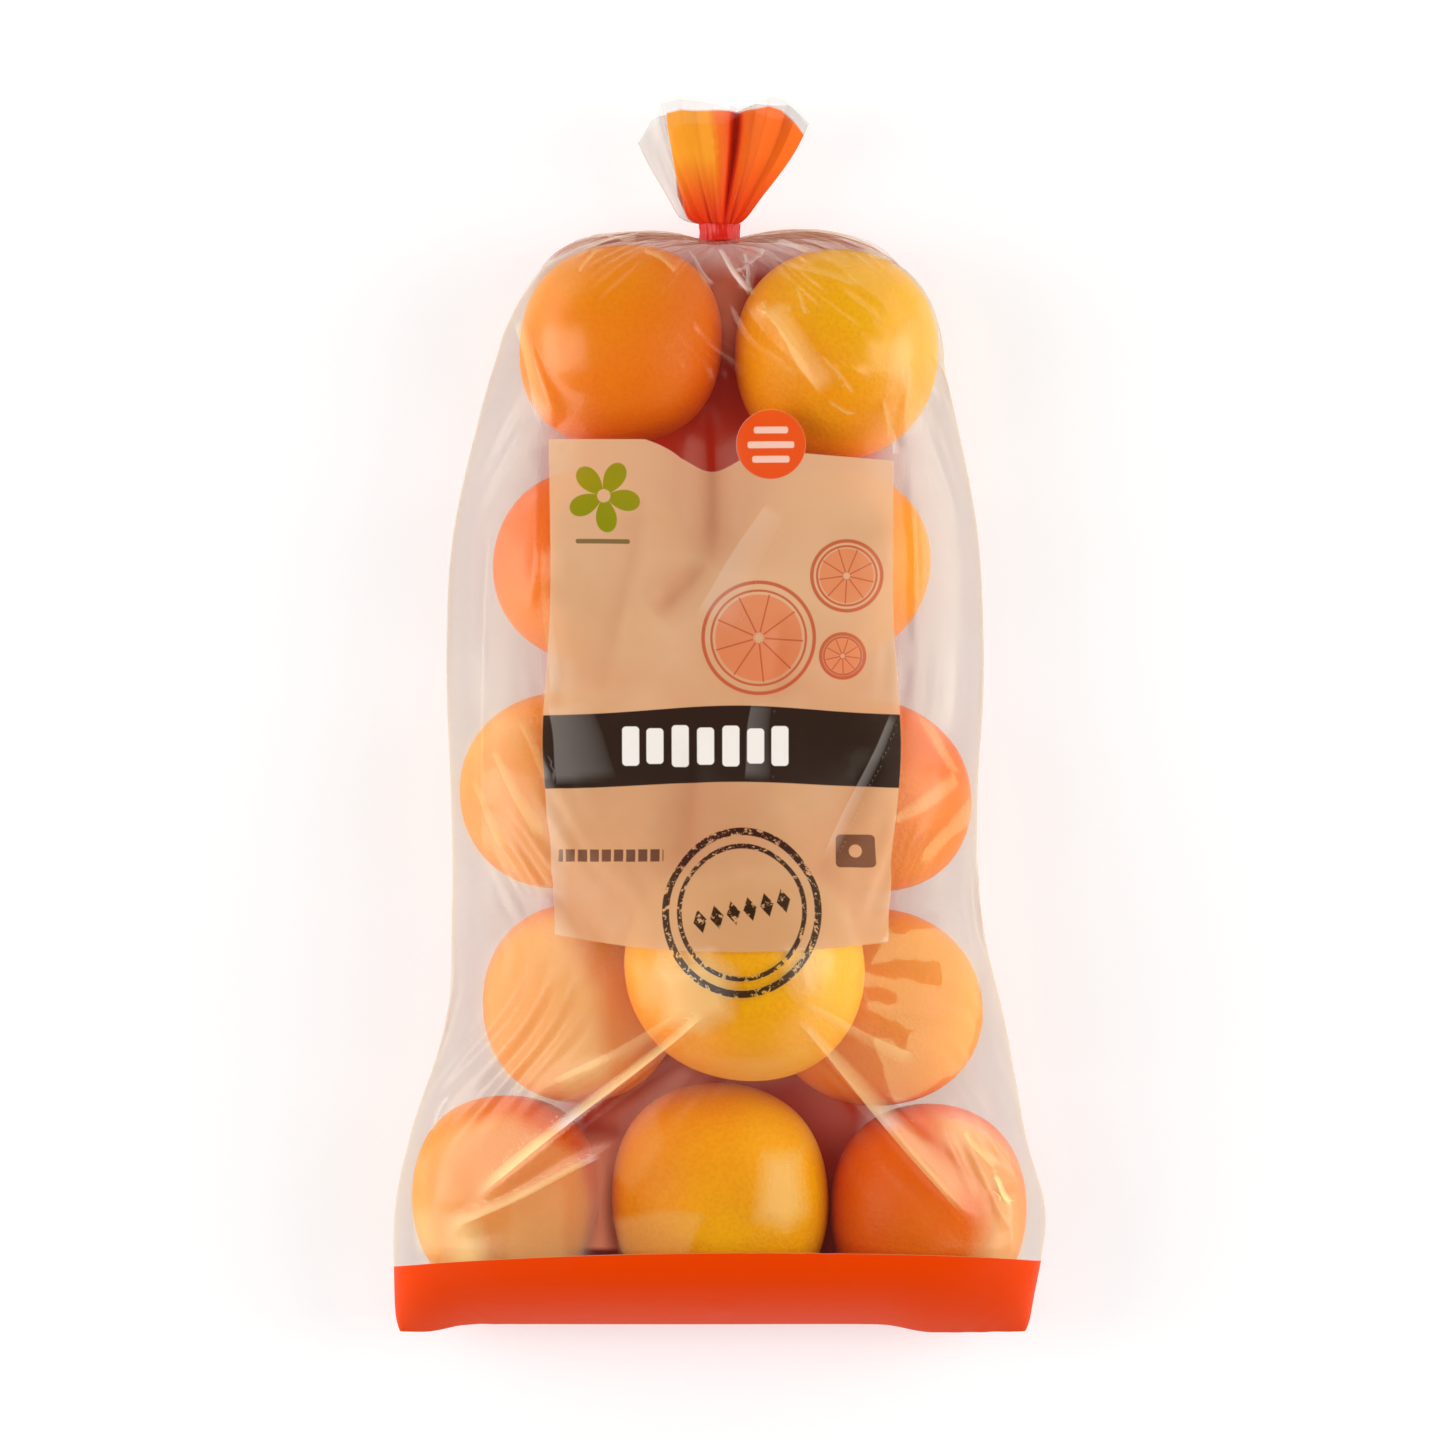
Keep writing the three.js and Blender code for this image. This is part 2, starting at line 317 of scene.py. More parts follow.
ball_points, ball_faces = ball_mesh(PEEL_DETAIL)
peel_finish = peel_material()
button_finish = button_material()
peels = []
for number, (name, (centre, radii, square, golden)) in enumerate(ORANGES.items()):
    peel = Peel(number, centre, radii, square)
    peels.append(peel)
    flesh = ball_points * peel.reach(ball_points)[:, None]
    button, button_faces = button_mesh(peel)
    first = len(flesh)
    faces = ball_faces + [[first + corner for corner in face] for face in button_faces]
    orange = mesh_piece(name, (np.vstack([flesh, button]) + peel.centre) * MM, faces)
    # One cheek of each orange had more sun than the other.
    sunny = np.random.default_rng(CHEEK_SEED + number).normal(size=3)
    sunny /= np.linalg.norm(sunny)
    tone = np.full(len(orange.data.vertices), golden)
    tone[:first] += CHEEK_TONE * (ball_points @ sunny)
    set_attribute(orange, "golden", tone)
    orange.data.materials.append(peel_finish)
    orange.data.materials.append(button_finish)
    kinds = [0] * len(ball_faces) + [1] * len(button_faces)
    orange.data.polygons.foreach_set("material_index", kinds)
    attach(orange, "root")

# ---- The film bag -----------------------------------------------------------------------
# One tube of thin clear film, heat-sealed flat at the foot, gathered at the neck and left open
# above it. It is shaped here by draping it over the oranges and letting its slack buckle.

# The bag's left and right edges at places along it, from the foot up, in mm.
OUTLINE_Y = np.array([-239.0, -225, -209, -192, -163, -117, -72, -35, 24, 70, 115, 150])
OUTLINE_LEFT = np.array([
    -125.5, -126.1, -126.3, -126.0, -120.5, -105.5, -103.3, -104.0, -105.5, -103.2, -93.3, -83.4])
OUTLINE_RIGHT = np.array([
    119.6, 120.8, 124.3, 126.0, 118.5, 110.0, 100.0, 99.6, 101.8, 99.8, 91.5, 83.6])
FOOT_Y, SHOULDER_Y = -236.5, 150.0
FOOT_RUN = 30.0  # how far from the foot the film takes to open out
SEAL_HEIGHT, SEAL_GAP = 33.0, 0.4
# Heights of the film's side edges, of its slack middle, and of its middle where it puffs up over
# the foot, between two distances along the bag.
EDGE_HEIGHT, SLACK_HEIGHT, PUFF_HEIGHT = 38.0, 60.0, 84.0
PUFF_START, PUFF_FULL = -178, -203
OVAL_POWER = 3.2
BOTTOM_DIP = 7.0  # how far the back would hang below the floor, which holds it up
CORNER_DROP = 3.5  # how far the foot's corners hang lower than its middle
CORNER_LEFT, CORNER_RIGHT = (-114, -96), (62, 80)  # where across the foot they set in
TAUT_CLEARANCE = 0.4  # between the peel and the film while it is taut
NECK = np.array([-0.2, 183.5, 43.0])  # the middle of the gathered neck, where it begins
NECK_RADIUS, PLEAT_DEPTH = 6.3, 0.12
PLEATS, FINE_PLEATS = 17, 29
FRILL_START = 190.4
SHOULDER_HALF = 85
SHOULDER_POWER, SHOULDER_RISE = 2.1, 10.0
SHOULDER_SLOPES = (0.08, 0.055)  # how much narrower the right and left shoulders are on their way

# The mesh: steps across the front film and across the back, and rows along the bag.
FRONT_STEPS, BACK_STEPS = 200, 104
BODY_ROWS, SHOULDER_ROWS, NECK_ROWS, FRILL_ROWS = 222, 44, 4, 34
DRAPE_ROWS, DRAPE_COLUMNS, DRAPE_PASSES = 97, 65, 2500  # the net that is drawn taut first
RING_POINTS = 161


def ease(low, high, value):
    share = np.clip((value - low) / (high - low), 0, 1)
    return share * share * (3 - 2 * share)


def curve_at(places, values, wanted):
    """A smooth curve through values at places, read at the wanted places."""
    slopes = np.gradient(values, places)
    index = np.clip(np.searchsorted(places, wanted) - 1, 0, len(places) - 2)
    step = places[index + 1] - places[index]
    t = (wanted - places[index]) / step
    return ((2 * t ** 3 - 3 * t ** 2 + 1) * values[index] + (t ** 3 - 2 * t ** 2 + t) * step * slopes[index]
            + (3 * t ** 2 - 2 * t ** 3) * values[index + 1] + (t ** 3 - t ** 2) * step * slopes[index + 1])


def edges_at(y):
    left = curve_at(OUTLINE_Y, OUTLINE_LEFT, y)
    right = curve_at(OUTLINE_Y, OUTLINE_RIGHT, y)
    return (left + right) / 2, (right - left) / 2


def oval(across):
    return np.maximum(0, 1 - np.abs(across) ** OVAL_POWER) ** (1 / OVAL_POWER)


def edge_height(y):
    return SEAL_HEIGHT + (EDGE_HEIGHT - SEAL_HEIGHT) * ease(0, FOOT_RUN, y - FOOT_Y)


def seal_half(across):
    return SEAL_GAP / 2 * (0.25 + 0.75 * oval(across))


def orange_tops(x, y):
    """Height of the oranges' upper side at each place, or 0 beside them, in mm."""
    highest = np.zeros(np.broadcast(x, y).shape)
    for peel in peels:
        cx, cy, cz = peel.centre
        wide, long, tall = peel.radii + TAUT_CLEARANCE
        inside = 1 - ((x - cx) / wide) ** 2 - ((y - cy) / long) ** 2
        highest = np.maximum(highest, np.where(inside > 0, cz + tall * np.sqrt(np.maximum(inside, 0)), 0))
    return highest


def draped_front():
    """Heights of the front film, taut between the oranges: rows along the bag, columns across."""
    y = np.linspace(FOOT_Y, SHOULDER_Y, DRAPE_ROWS)[:, None]
    step = np.linspace(1, -1, DRAPE_COLUMNS)
    across = (step * (1.5 - 0.5 * step ** 2))[None, :]
    middle, half = edges_at(y)
    closing = ease(0, FOOT_RUN, y - FOOT_Y)
    slack = edge_height(y) + (SLACK_HEIGHT - edge_height(y)) * oval(across) * closing
    puffed = np.sin(np.clip((y - FOOT_Y) / FOOT_RUN, 0, 1) * math.pi / 2) ** 0.8
    puffed = puffed * ease(PUFF_START, PUFF_FULL, y)
    slack = np.maximum(slack, SEAL_HEIGHT + (PUFF_HEIGHT - SEAL_HEIGHT) * oval(across) * puffed)
    least = np.maximum(slack, orange_tops(middle + half * across, y))
    height = least.copy()
    height[0] = SEAL_HEIGHT + seal_half(across[0])
    for _ in range(DRAPE_PASSES):
        after = np.vstack([height[2:], height[-1:]])
        mean = (height[:-2] + after[:-1])[:, 1:-1] + height[1:-1, :-2] + height[1:-1, 2:]
        height[1:-1, 1:-1] = np.maximum(least[1:-1, 1:-1], mean / 4)
        height[-1] = height[-2]
    return y[:, 0], across[0], height


def lengths_along(line):
    return np.concatenate([[0], np.cumsum(np.linalg.norm(np.diff(line, axis=0), axis=1))])


def resample(line, count):
    """count + 1 points at even distances along a line of points."""
    lengths = lengths_along(line)
    wanted = np.linspace(0, lengths[-1], count + 1)
    return np.stack([np.interp(wanted, lengths, line[:, axis]) for axis in range(line.shape[1])], axis=1)


def body_rows():
    """The film round the oranges, from the seal to the shoulders, as rings of points in mm."""
    rows, columns, height = draped_front()
    across = np.sin(np.linspace(math.pi / 2, -math.pi / 2, RING_POINTS))
    rings = []
    for y in np.linspace(FOOT_Y, SHOULDER_Y, BODY_ROWS):
        middle, half = edges_at(np.array(y))
        at = (y - rows[0]) / (rows[1] - rows[0])
        row = int(min(at, len(rows) - 2))
        share = at - row
        front = np.interp(-across, -columns, height[row] * (1 - share) + height[row + 1] * share)
        x = middle + half * across
        front = np.maximum(front, orange_tops(x, np.array(y)) * (y > FOOT_Y + 2))
        edge = float(edge_height(np.array(y)))
        back = np.maximum(0.3, edge - (edge + BOTTOM_DIP) * oval(across))
        back = np.maximum(back, SEAL_HEIGHT - seal_half(across) - (y - FOOT_Y) * 2.3)
        over = resample(np.stack([x, front], axis=1), FRONT_STEPS)
        under = resample(np.stack([x, back], axis=1)[::-1], BACK_STEPS)
        ring = np.vstack([over[:-1], under[:-1]])
        corner = np.maximum(1 - ease(*CORNER_LEFT, ring[:, 0]), ease(*CORNER_RIGHT, ring[:, 0]))
        drop = CORNER_DROP * corner * (1 - ease(0, FOOT_RUN, y - FOOT_Y))
        rings.append(np.stack([ring[:, 0], y - drop, ring[:, 1]], axis=1))
    return np.array(rings)


turns = np.concatenate([
    np.linspace(0, math.pi, FRONT_STEPS, endpoint=False),
    np.linspace(math.pi, 2 * math.pi, BACK_STEPS, endpoint=False)])


def pleats_round():
    """How far in or out the gathered film stands at each turn, from -1 to 1."""
    wander = 0.5 * np.sin(2 * turns + 0.4) + 0.35 * np.sin(5 * turns + 2.0)
    fine = np.cos(FINE_PLEATS * turns + wander * 3.0 + 1.0)
    return 0.65 * np.cos(PLEATS * turns + wander * 2.2) + 0.35 * fine


def gathered_ring(y, depth=PLEAT_DEPTH):
    """A ring of the gathered film round the neck's line, in mm."""
    out = NECK_RADIUS * (1 + depth * pleats_round())
    return np.stack([NECK[0] + out * np.cos(turns), y + 0 * turns, NECK[2] + out * np.sin(turns)], axis=1)


def shoulder_rows(last):
    """The film over the top two oranges, drawn in to the neck with pleats that grow deeper."""
    rings = []
    for share in np.linspace(0, 1, SHOULDER_ROWS + 1)[1:]:
        angle = share * math.pi / 2
        rise = math.sin(angle) ** (2 / SHOULDER_POWER)
        fall = max(0.0, math.cos(angle)) ** (2 / SHOULDER_POWER)
        size = NECK_RADIUS / SHOULDER_HALF + (1 - NECK_RADIUS / SHOULDER_HALF) * fall
        depth = PLEAT_DEPTH * ease(0.35, 1, share)
        pleat = 1 + depth * pleats_round()
        hump = SHOULDER_RISE * np.cos(turns) ** 2 * rise * (1 - share ** 4)
        y = SHOULDER_Y + (NECK[1] - SHOULDER_Y) * rise + hump
        slope = 1 - np.where(last[:, 0] > 0, *SHOULDER_SLOPES) * math.exp(-((share - 0.25) / 0.2) ** 2)
        lumpy = np.stack([
            NECK[0] + (last[:, 0] - NECK[0]) * size * slope * pleat, y,
            NECK[2] + (last[:, 2] - NECK[2]) * size * pleat], axis=1)
        share = ease(0.85, 1, share)
        rings.append(lumpy * (1 - share) + gathered_ring(y, depth) * share)
    return np.array(rings)


def neck_rows():
    shares = np.linspace(0, 1, NECK_ROWS + 1)[1:]
    return np.array([gathered_ring(NECK[1] + (FRILL_START - NECK[1]) * share) for share in shares])


# The mouth's edge as it lies, from its right end over the front to its left end, and back
# behind, in mm; and its pleats: the share of the way along the edge, and how far out it stands.
MOUTH_DEPTH = 14.0
LEFT_FLARE, RIGHT_FLARE = 9.5, 2.5  # how far the ends of the fan bow out near the tie
MOUTH_FRONT = np.array([
    (34.4, 229.5), (31.7, 233.0), (25.2, 239.0), (20.1, 239.6), (9.7, 235.3), (3.9, 235.3), (-7.7, 238.0),
    (-15.5, 238.8), (-22.4, 237.4), (-24.2, 228.6), (-31.3, 222.0)])
MOUTH_BACK = np.array([
    (-31.3, 222.0), (-26.5, 231.5), (-14.0, 236.0), (2.0, 233.5), (14.0, 238.0), (27.0, 237.5),
    (34.4, 229.5)])
FRONT_PLEATS = np.array([
    (0, 0), (0.08, 0.6), (0.14, 0.5), (0.24, 1.0), (0.31, 0.72), (0.36, 0.8), (0.4, 0.05),
    (0.44, 0.75), (0.52, 1.0), (0.61, 0.8), (0.68, 0.95), (0.76, 0.8), (0.86, 0.35), (0.93, 0.45), (1, 0)])
BACK_PLEATS = np.array([
    (0, 0), (0.1, -0.6), (0.18, -0.25), (0.3, -0.9), (0.42, -0.4), (0.55, -0.95), (0.66, -0.45), (0.8, -0.85),
    (0.9, -0.3), (1, 0)])


def mouth_share():
    """How far along the mouth's edge each turn lies, from 0 at its start to 1 at its end."""
    return np.where(turns < math.pi, turns / math.pi, turns / math.pi - 1)


def where_across():
    """Where each turn lies across the mouth, from -1 at its left end to 1 at its right end."""
    return np.where(turns < math.pi, 1 - 2 * mouth_share(), 2 * mouth_share() - 1)


def frill_rows():
    """The open mouth above the tie: the film spreads into a flat fan of wide, sharp pleats."""
    share_round = mouth_share()
    across_mouth = where_across()
    edge = np.zeros((len(turns), 3))
    for outline, pleats, side in (
            (MOUTH_FRONT, FRONT_PLEATS, turns < math.pi), (MOUTH_BACK, BACK_PLEATS, turns >= math.pi)):
        lengths = lengths_along(outline)
        places = share_round[side] * lengths[-1]
        edge[side, 0] = np.interp(places, lengths, outline[:, 0])
        edge[side, 1] = np.interp(places, lengths, outline[:, 1])
        edge[side, 2] = NECK[2] + MOUTH_DEPTH * np.interp(share_round[side], pleats[:, 0], pleats[:, 1])
    start = gathered_ring(FRILL_START)
    rings = []
    for share in np.linspace(0, 1, FRILL_ROWS + 1)[1:]:
        ring = start * (1 - share) + edge * share
        ring[:, 0] += NECK[0] + (ring[:, 0] - NECK[0]) * 0.12 * math.sin(math.pi * share)
        flare = (1 - share) ** 2 * (1 - math.exp(-share / 0.04))
        ring[:, 0] -= LEFT_FLARE * flare * np.clip((-across_mouth - 0.4) / 0.6, 0, 1)
        ring[:, 0] += RIGHT_FLARE * flare * np.clip((across_mouth - 0.4) / 0.6, 0, 1)
        rings.append(ring)
    return np.array(rings)


body = body_rows()
shoulders = shoulder_rows(body[-1])
film = np.concatenate([body, shoulders, neck_rows(), frill_rows()])
flat = film.copy()

# Folds of the front film that start from something: from, to, height, and how far the film
# slopes off on the left and on the right of that way, all in mm.
FOLDS = [
    # From the orange on top to the corners of the foot.
    ((-5.9, -115.3), (-94, -185.8), 5.5, 2.2, 6),
    ((-9.7, -114.6), (-71.6, -143.6), 3, 2, 5),
    ((-30, -158), (-103, -195), 3.5, 3, 4),
    ((29, -118), (98.3, -194), 5.5, 7, 2.2),
    ((27, -113), (84, -163), 3.5, 4, 2),
    # From the orange on top to the right side of the bag.
    ((46, -82), (92, -78), 3, 2, 4.5),
    ((52, -95.5), (97, -98), 3.5, 2, 4.5),
    ((52, -106), (96, -114), 3, 2, 4),
    ((48, -114), (88, -130), 3, 2, 4),
    # Over the orange at the right of the foot.
    ((92, -158), (112, -196), 3, 2, 3),
    ((84, -156), (98, -186), 2, 2, 3),
    ((101, -156), (118, -180), 2, 1.5, 2.5),
    # From the neck over the two oranges at the shoulders.
    ((-5, 184), (12.5, 161), 4, 2, 3.5),
    ((8.5, 181), (11.5, 163), 3, 1.8, 2.5),
    ((13.5, 160), (39, 124.5), 4, 5, 2.5),
    ((34, 176), (52, 166.5), 2.5, 2, 3.5),
    ((-31, 180), (-15.8, 172), 2.5, 2, 3),
    ((-47.6, 182), (-57, 173), 2, 2, 2.5),
    ((-76, 156), (-62, 111), 3.5, 3, 3.5),
    ((73, 140), (70, 104), 2.5, 2.5, 3),
    # Down the sides, where the panel's edges lie over gaps between oranges.
    ((-68, 104), (-72, 40), 2, 3, 3),
    ((72, 100), (76, 20), 2, 3, 3),
    ((-88, 80), (-93, -70), 2, 3, 3),
    ((-120, -168), (-116, -205), 2, 2, 2),
    ((111, -182), (112, -206), 2, 2, 2),
]

# Valleys of the front film, in the same way, but as depths.
VALLEYS = [
    ((-4, 119), (-3, 54), 9, 11, 11),
    ((-3, 62), (-24, 38), 7, 4, 7),
    ((-10, -2), (-12, -60), 6, 9, 9),
    ((-66, -62), (-40, -88), 4, 5, 5),
    ((58, -14), (36, -62), 4, 3, 6),
    ((-28, 92), (-44, 10), 2.5, 4, 6),
    ((26, 40), (20, 4), 3.5, 5, 5),
]
DEEP_DIP = 9.0  # the depth from which a valley's painted shade is darkest and its shine dullest


def place_by_way(x, y, start, end):
    """Where each place lies by a straight way: what share of it along, and how far to its left."""
    start, end = np.array(start), np.array(end)
    length = np.linalg.norm(end - start)
    way = (end - start) / length
    along = ((x - start[0]) * way[0] + (y - start[1]) * way[1]) / length
    return along, (y - start[1]) * way[0] - (x - start[0]) * way[1]


def fold_height(folds, x, y):
    """How far folds lift the front film at each place."""
    lift = np.zeros_like(x)
    for start, end, height, left, right in folds:
        along, aside = place_by_way(x, y, start, end)
        aside = aside + 0.6 * np.sin(along * 5.0 + start[0]) * np.minimum(1, left / 2)
        slope = np.where(aside > 0, aside / left, -aside / right)
        rises = np.clip(1.1 - np.abs(along * 2 - 1) ** 3 * 1.1, 0, 1)
        lift = np.maximum(lift, height * rises * np.exp(-slope))
    return lift


front_film = np.sin(turns)[None, :] > 0.02
bag_end = BODY_ROWS + SHOULDER_ROWS
dips = fold_height(VALLEYS, flat[:, :, 0], flat[:, :, 1]) * front_film
lift = fold_height(FOLDS, flat[:, :, 0], flat[:, :, 1]) * front_film - dips
lift[bag_end:] = 0


def upsized(values, rows, columns):
    """A field on a coarse grid, closed round the bag, read on a finer one."""
    for axis, size in ((1, rows), (2, columns)):
        if axis == 2:
            values = np.concatenate([values, values[:, :, :1]], axis=2)
        count = values.shape[axis]
        wanted = np.linspace(0, count - 1, size + (axis == 2))
        wanted = wanted[:size]
        low = np.minimum(wanted.astype(int), count - 2)
        share = (wanted - low).reshape([-1 if a == axis else 1 for a in range(3)])
        values = np.take(values, low, axis) * (1 - share) + np.take(values, low + 1, axis) * share
    return values


def keep_apart(one, other, rest, stretchy):
    """Moves pairs of points until each pair is its rest distance apart."""
    apart = other - one
    length = np.sqrt((apart ** 2).sum(axis=0)) + 1e-6
    move = (length - rest) / length
    move = np.where(move < 0, move * stretchy, move) * 0.5 * apart
    one += move
    other -= move


def mean_of_four(values):
    beside = np.roll(values, 1, axis=2) + np.roll(values, -1, axis=2)
    padded = np.concatenate([values[:, :1], values, values[:, -1:]], axis=1)
    return (beside + padded[:, :-2] + padded[:, 2:]) / 4


# How far the film lies off the peel, and between which heights it stays, in mm.
PEEL_CLEARANCE = 0.35
LOWEST, HIGHEST = np.float32(0.35), np.float32(145.0)


def lay_on_oranges(place):
    """Moves each point that is inside an orange out to just above its peel."""
    for peel in peels:
        centre = peel.centre.astype(np.float32)[:, None, None]
        radii = (peel.radii + PEEL_CLEARANCE).astype(np.float32)[:, None, None]
        away = place - centre
        share = roundness(away / radii, np.float32(peel.square))
        place[:] = centre + away * (np.maximum(share, 1) / np.maximum(share, 1e-3))


# How the film moves as it settles: how much of each step's motion is left in the next, how
# strongly it is drawn back to its place, and how much its diagonals give before they hold.
DRIFT, PULL = 0.85, 0.003
DIAGONAL_SLACK, DIAGONAL_GIVE = 1.004, 0.45


def settle(place, target, along, around_rest, held, steps, stiffness):
    """Lets the film buckle: it keeps its lengths, resists sharp bends and lies on the oranges."""
    square = np.sqrt(along ** 2 + (around_rest[:-1] ** 2 + around_rest[1:] ** 2) / 2)[:, :-1]
    rightward = np.sqrt(((target[:, 1:, 1:] - target[:, :-1, :-1]) ** 2).sum(axis=0)) * DIAGONAL_SLACK
    leftward = np.sqrt(((target[:, 1:, :-1] - target[:, :-1, 1:]) ** 2).sum(axis=0)) * DIAGONAL_SLACK
    rightward += DIAGONAL_GIVE * (square - rightward)
    leftward += DIAGONAL_GIVE * (square - leftward)
    before = place.copy()
    for _ in range(steps):
        drift = (place - before) * DRIFT
        before = place.copy()
        place += drift
        place += PULL * (target - place)
        curl = mean_of_four(place) - place
        place -= stiffness * (mean_of_four(curl) - curl)
        for first in (0, 1):
            pairs = (place.shape[2] - first) // 2
            keep_apart(place[:, :, first::2][:, :, :pairs], place[:, :, first + 1::2],
                       around_rest[:, first::2][:, :pairs], 0.5)
            keep_apart(place[:, first:-1:2], place[:, first + 1::2], along[first::2], 0.5)
            keep_apart(place[:, first:-1:2, :-1], place[:, first + 1::2, 1:], rightward[first::2], 0.3)
            keep_apart(place[:, first:-1:2, 1:], place[:, first + 1::2, :-1], leftward[first::2], 0.3)
        keep_apart(place[:, :, -1], place[:, :, 0], around_rest[:, -1], 0.5)
        lay_on_oranges(place)
        place[2] = np.clip(place[2], LOWEST, HIGHEST)
        place += held * (target - place)
    return place


FILM_SEED = 7
# From a coarse net of the film's points to all of them: every how many, for how many steps, and
# how stiff the film is.
SETTLING = [(4, 160, 0.25), (2, 160, 0.25), (1, 140, 0.12)]
FIRST_BUMPS, LATER_BUMPS = 1.2, 0.12  # how uneven the film is at the start of each, in mm
# How firmly parts of the film are held in place as it settles, where 1 is fast.
LOOSE_FRILL, FIRM_FRILL, MOUTH_EDGE = 0.012, 0.3, 0.1
ON_FOLDS, ON_BACK = 0.1, 0.05
CALMING_STEPS = 14

target = film.transpose(2, 0, 1).astype(np.float32)
rows, around = target.shape[1:]
random = np.random.default_rng(FILM_SEED)
gap = np.min([peel.outside(film) for peel in peels], axis=0)
uneven = upsized(random.uniform(0.15, 1.85, size=(1, 14, 14)), rows, around)[0]
slack = 1.0 + (0.007 + 0.03 * ease(1.0, 14.0, gap)) * uneven
shoulder_share = np.clip((np.arange(rows) - BODY_ROWS) / SHOULDER_ROWS, 0, 1)[:, None]
slack = slack + 0.3 * shoulder_share ** 1.7
frill_share = np.clip((np.arange(rows) - bag_end - NECK_ROWS) / FRILL_ROWS, 0, 1)[:, None]
slack = slack - 0.2 * np.minimum(1, frill_share * 3)
lifted = target.copy()
lifted[2] += lift
on_fold = np.clip(np.abs(lift) / 2.0, 0, 1)
slack = 1.0 + (slack - 1.0) * (1 - 0.9 * on_fold)
along_slack = 1.0 + 0.005 * (1 - 0.9 * on_fold)

place = None
for level, steps, stiffness in SETTLING:
    row_at = np.arange(0, rows, level)
    row_at[-1] = rows - 1
    goal = (lifted if level == 1 else target)[:, row_at, ::level]
    gap_now = np.roll(goal, -1, axis=2) - goal
    around_rest = np.sqrt((gap_now ** 2).sum(axis=0)) * slack[row_at, ::level].astype(np.float32)
    along = np.sqrt(((goal[:, 1:] - goal[:, :-1]) ** 2).sum(axis=0))
    along = along * along_slack[row_at[:-1], ::level].astype(np.float32)
    held = np.zeros((1,) + goal.shape[1:], np.float32)
    held[:, 0] = 1
    held[:, row_at > bag_end + NECK_ROWS] = LOOSE_FRILL
    held[:, -1] = MOUTH_EDGE
    if level == 1:
        held = np.maximum(held, (ON_FOLDS * on_fold[row_at, ::level]).astype(np.float32))
        held[:, bag_end + NECK_ROWS + 1:] = FIRM_FRILL
    held[:, (row_at >= bag_end - 1) & (row_at <= bag_end + NECK_ROWS)] = 1
    back = held[:, :, FRONT_STEPS // level + 2:-2]
    back[:] = np.maximum(back, ON_BACK)
    bumps = random.normal(size=(3, len(row_at) // 4 + 2, goal.shape[2] // 4)).astype(np.float32)
    bumps = upsized(bumps, *goal.shape[1:])
    if place is None:
        place = goal + bumps * FIRST_BUMPS
    else:
        place = upsized(place, *goal.shape[1:]).astype(np.float32) + bumps * (LATER_BUMPS * level)
    if level == 1:
        place[2] += lift
    place = place * (1 - held) + goal * held
    place = settle(place, goal, along, around_rest, held, steps, stiffness)

# The printed panel and the foot are thicker with ink and wrinkle less.
flat_x, flat_y = flat[:, :, 0], flat[:, :, 1]
panel_calm = ease(66, 48, np.abs(flat_x)) * ease(-98, -80, flat_y) * ease(118, 98, flat_y)
foot_calm = ease(-200, -212, flat_y)
calm = (np.maximum(panel_calm * front_film, foot_calm) * 0.6).astype(np.float32)
for _ in range(CALMING_STEPS):
    place += calm * (mean_of_four(place) - place)
    lay_on_oranges(place)
film = place.transpose(1, 2, 0).astype(float)

index = np.arange(rows * around).reshape(rows, around)
beside = np.roll(index, -1, axis=1)
film_faces = np.stack([index[:-1], index[1:], beside[1:], beside[:-1]], axis=-1).reshape(-1, 4)


def seal_faces():
    """Closes the foot: a strip between the front film's edge and the back film's."""
    front = index[0, :FRONT_STEPS + 1]
    back = np.concatenate([index[0, FRONT_STEPS:], index[0, :1]])[::-1]
    nearest = np.round(np.linspace(0, BACK_STEPS, FRONT_STEPS + 1)).astype(int)
    strip = []
    for step in range(FRONT_STEPS):
        corners = [front[step], front[step + 1], back[nearest[step + 1]], back[nearest[step]]]
        corners = list(dict.fromkeys(corners))
        if len(corners) > 2:
            strip.append([int(corner) for corner in corners])
    return strip


film_piece = mesh_piece("film_bag", film.reshape(-1, 3) * MM, film_faces.tolist() + seal_faces())

# Heights in metres: of the camera, and of the plane whose sizes show at their true scale.
VIEW_HEIGHT, FILM_PLANE = 2.0, 0.038
front_side = np.broadcast_to(np.sin(turns), (rows, around))
seen_larger = (VIEW_HEIGHT - FILM_PLANE) / (VIEW_HEIGHT - flat[:, :, 2] * MM)
film_at = np.stack([flat[:, :, 0] * seen_larger, flat[:, :, 1] * seen_larger, front_side * 20], axis=-1)
set_attribute(film_piece, "film_at", film_at.reshape(-1, 3))
up_frill = np.zeros((rows, around))
up_frill[-FRILL_ROWS:] = np.linspace(0, 1, FRILL_ROWS + 1)[1:, None]
up_frill[:-FRILL_ROWS - NECK_ROWS] = -1
across_mouth = where_across()
mouth_at = np.stack([np.broadcast_to(across_mouth, (rows, around)), up_frill, front_side], axis=-1)
set_attribute(film_piece, "mouth_at", mouth_at.reshape(-1, 3))
gap = np.min([peel.outside(film) for peel in peels], axis=0)
inward = np.max([
    (1 - np.linalg.norm((film - peel.centre)[:, :, :2] / peel.radii[:2], axis=-1)) * peel.radii[0]
    for peel in peels], axis=0)
over_fruit = ease(-3, 5, inward)
set_attribute(film_piece, "over_fruit", over_fruit.ravel())
set_attribute(film_piece, "dip", np.clip(dips / DEEP_DIP, 0, 1).ravel())
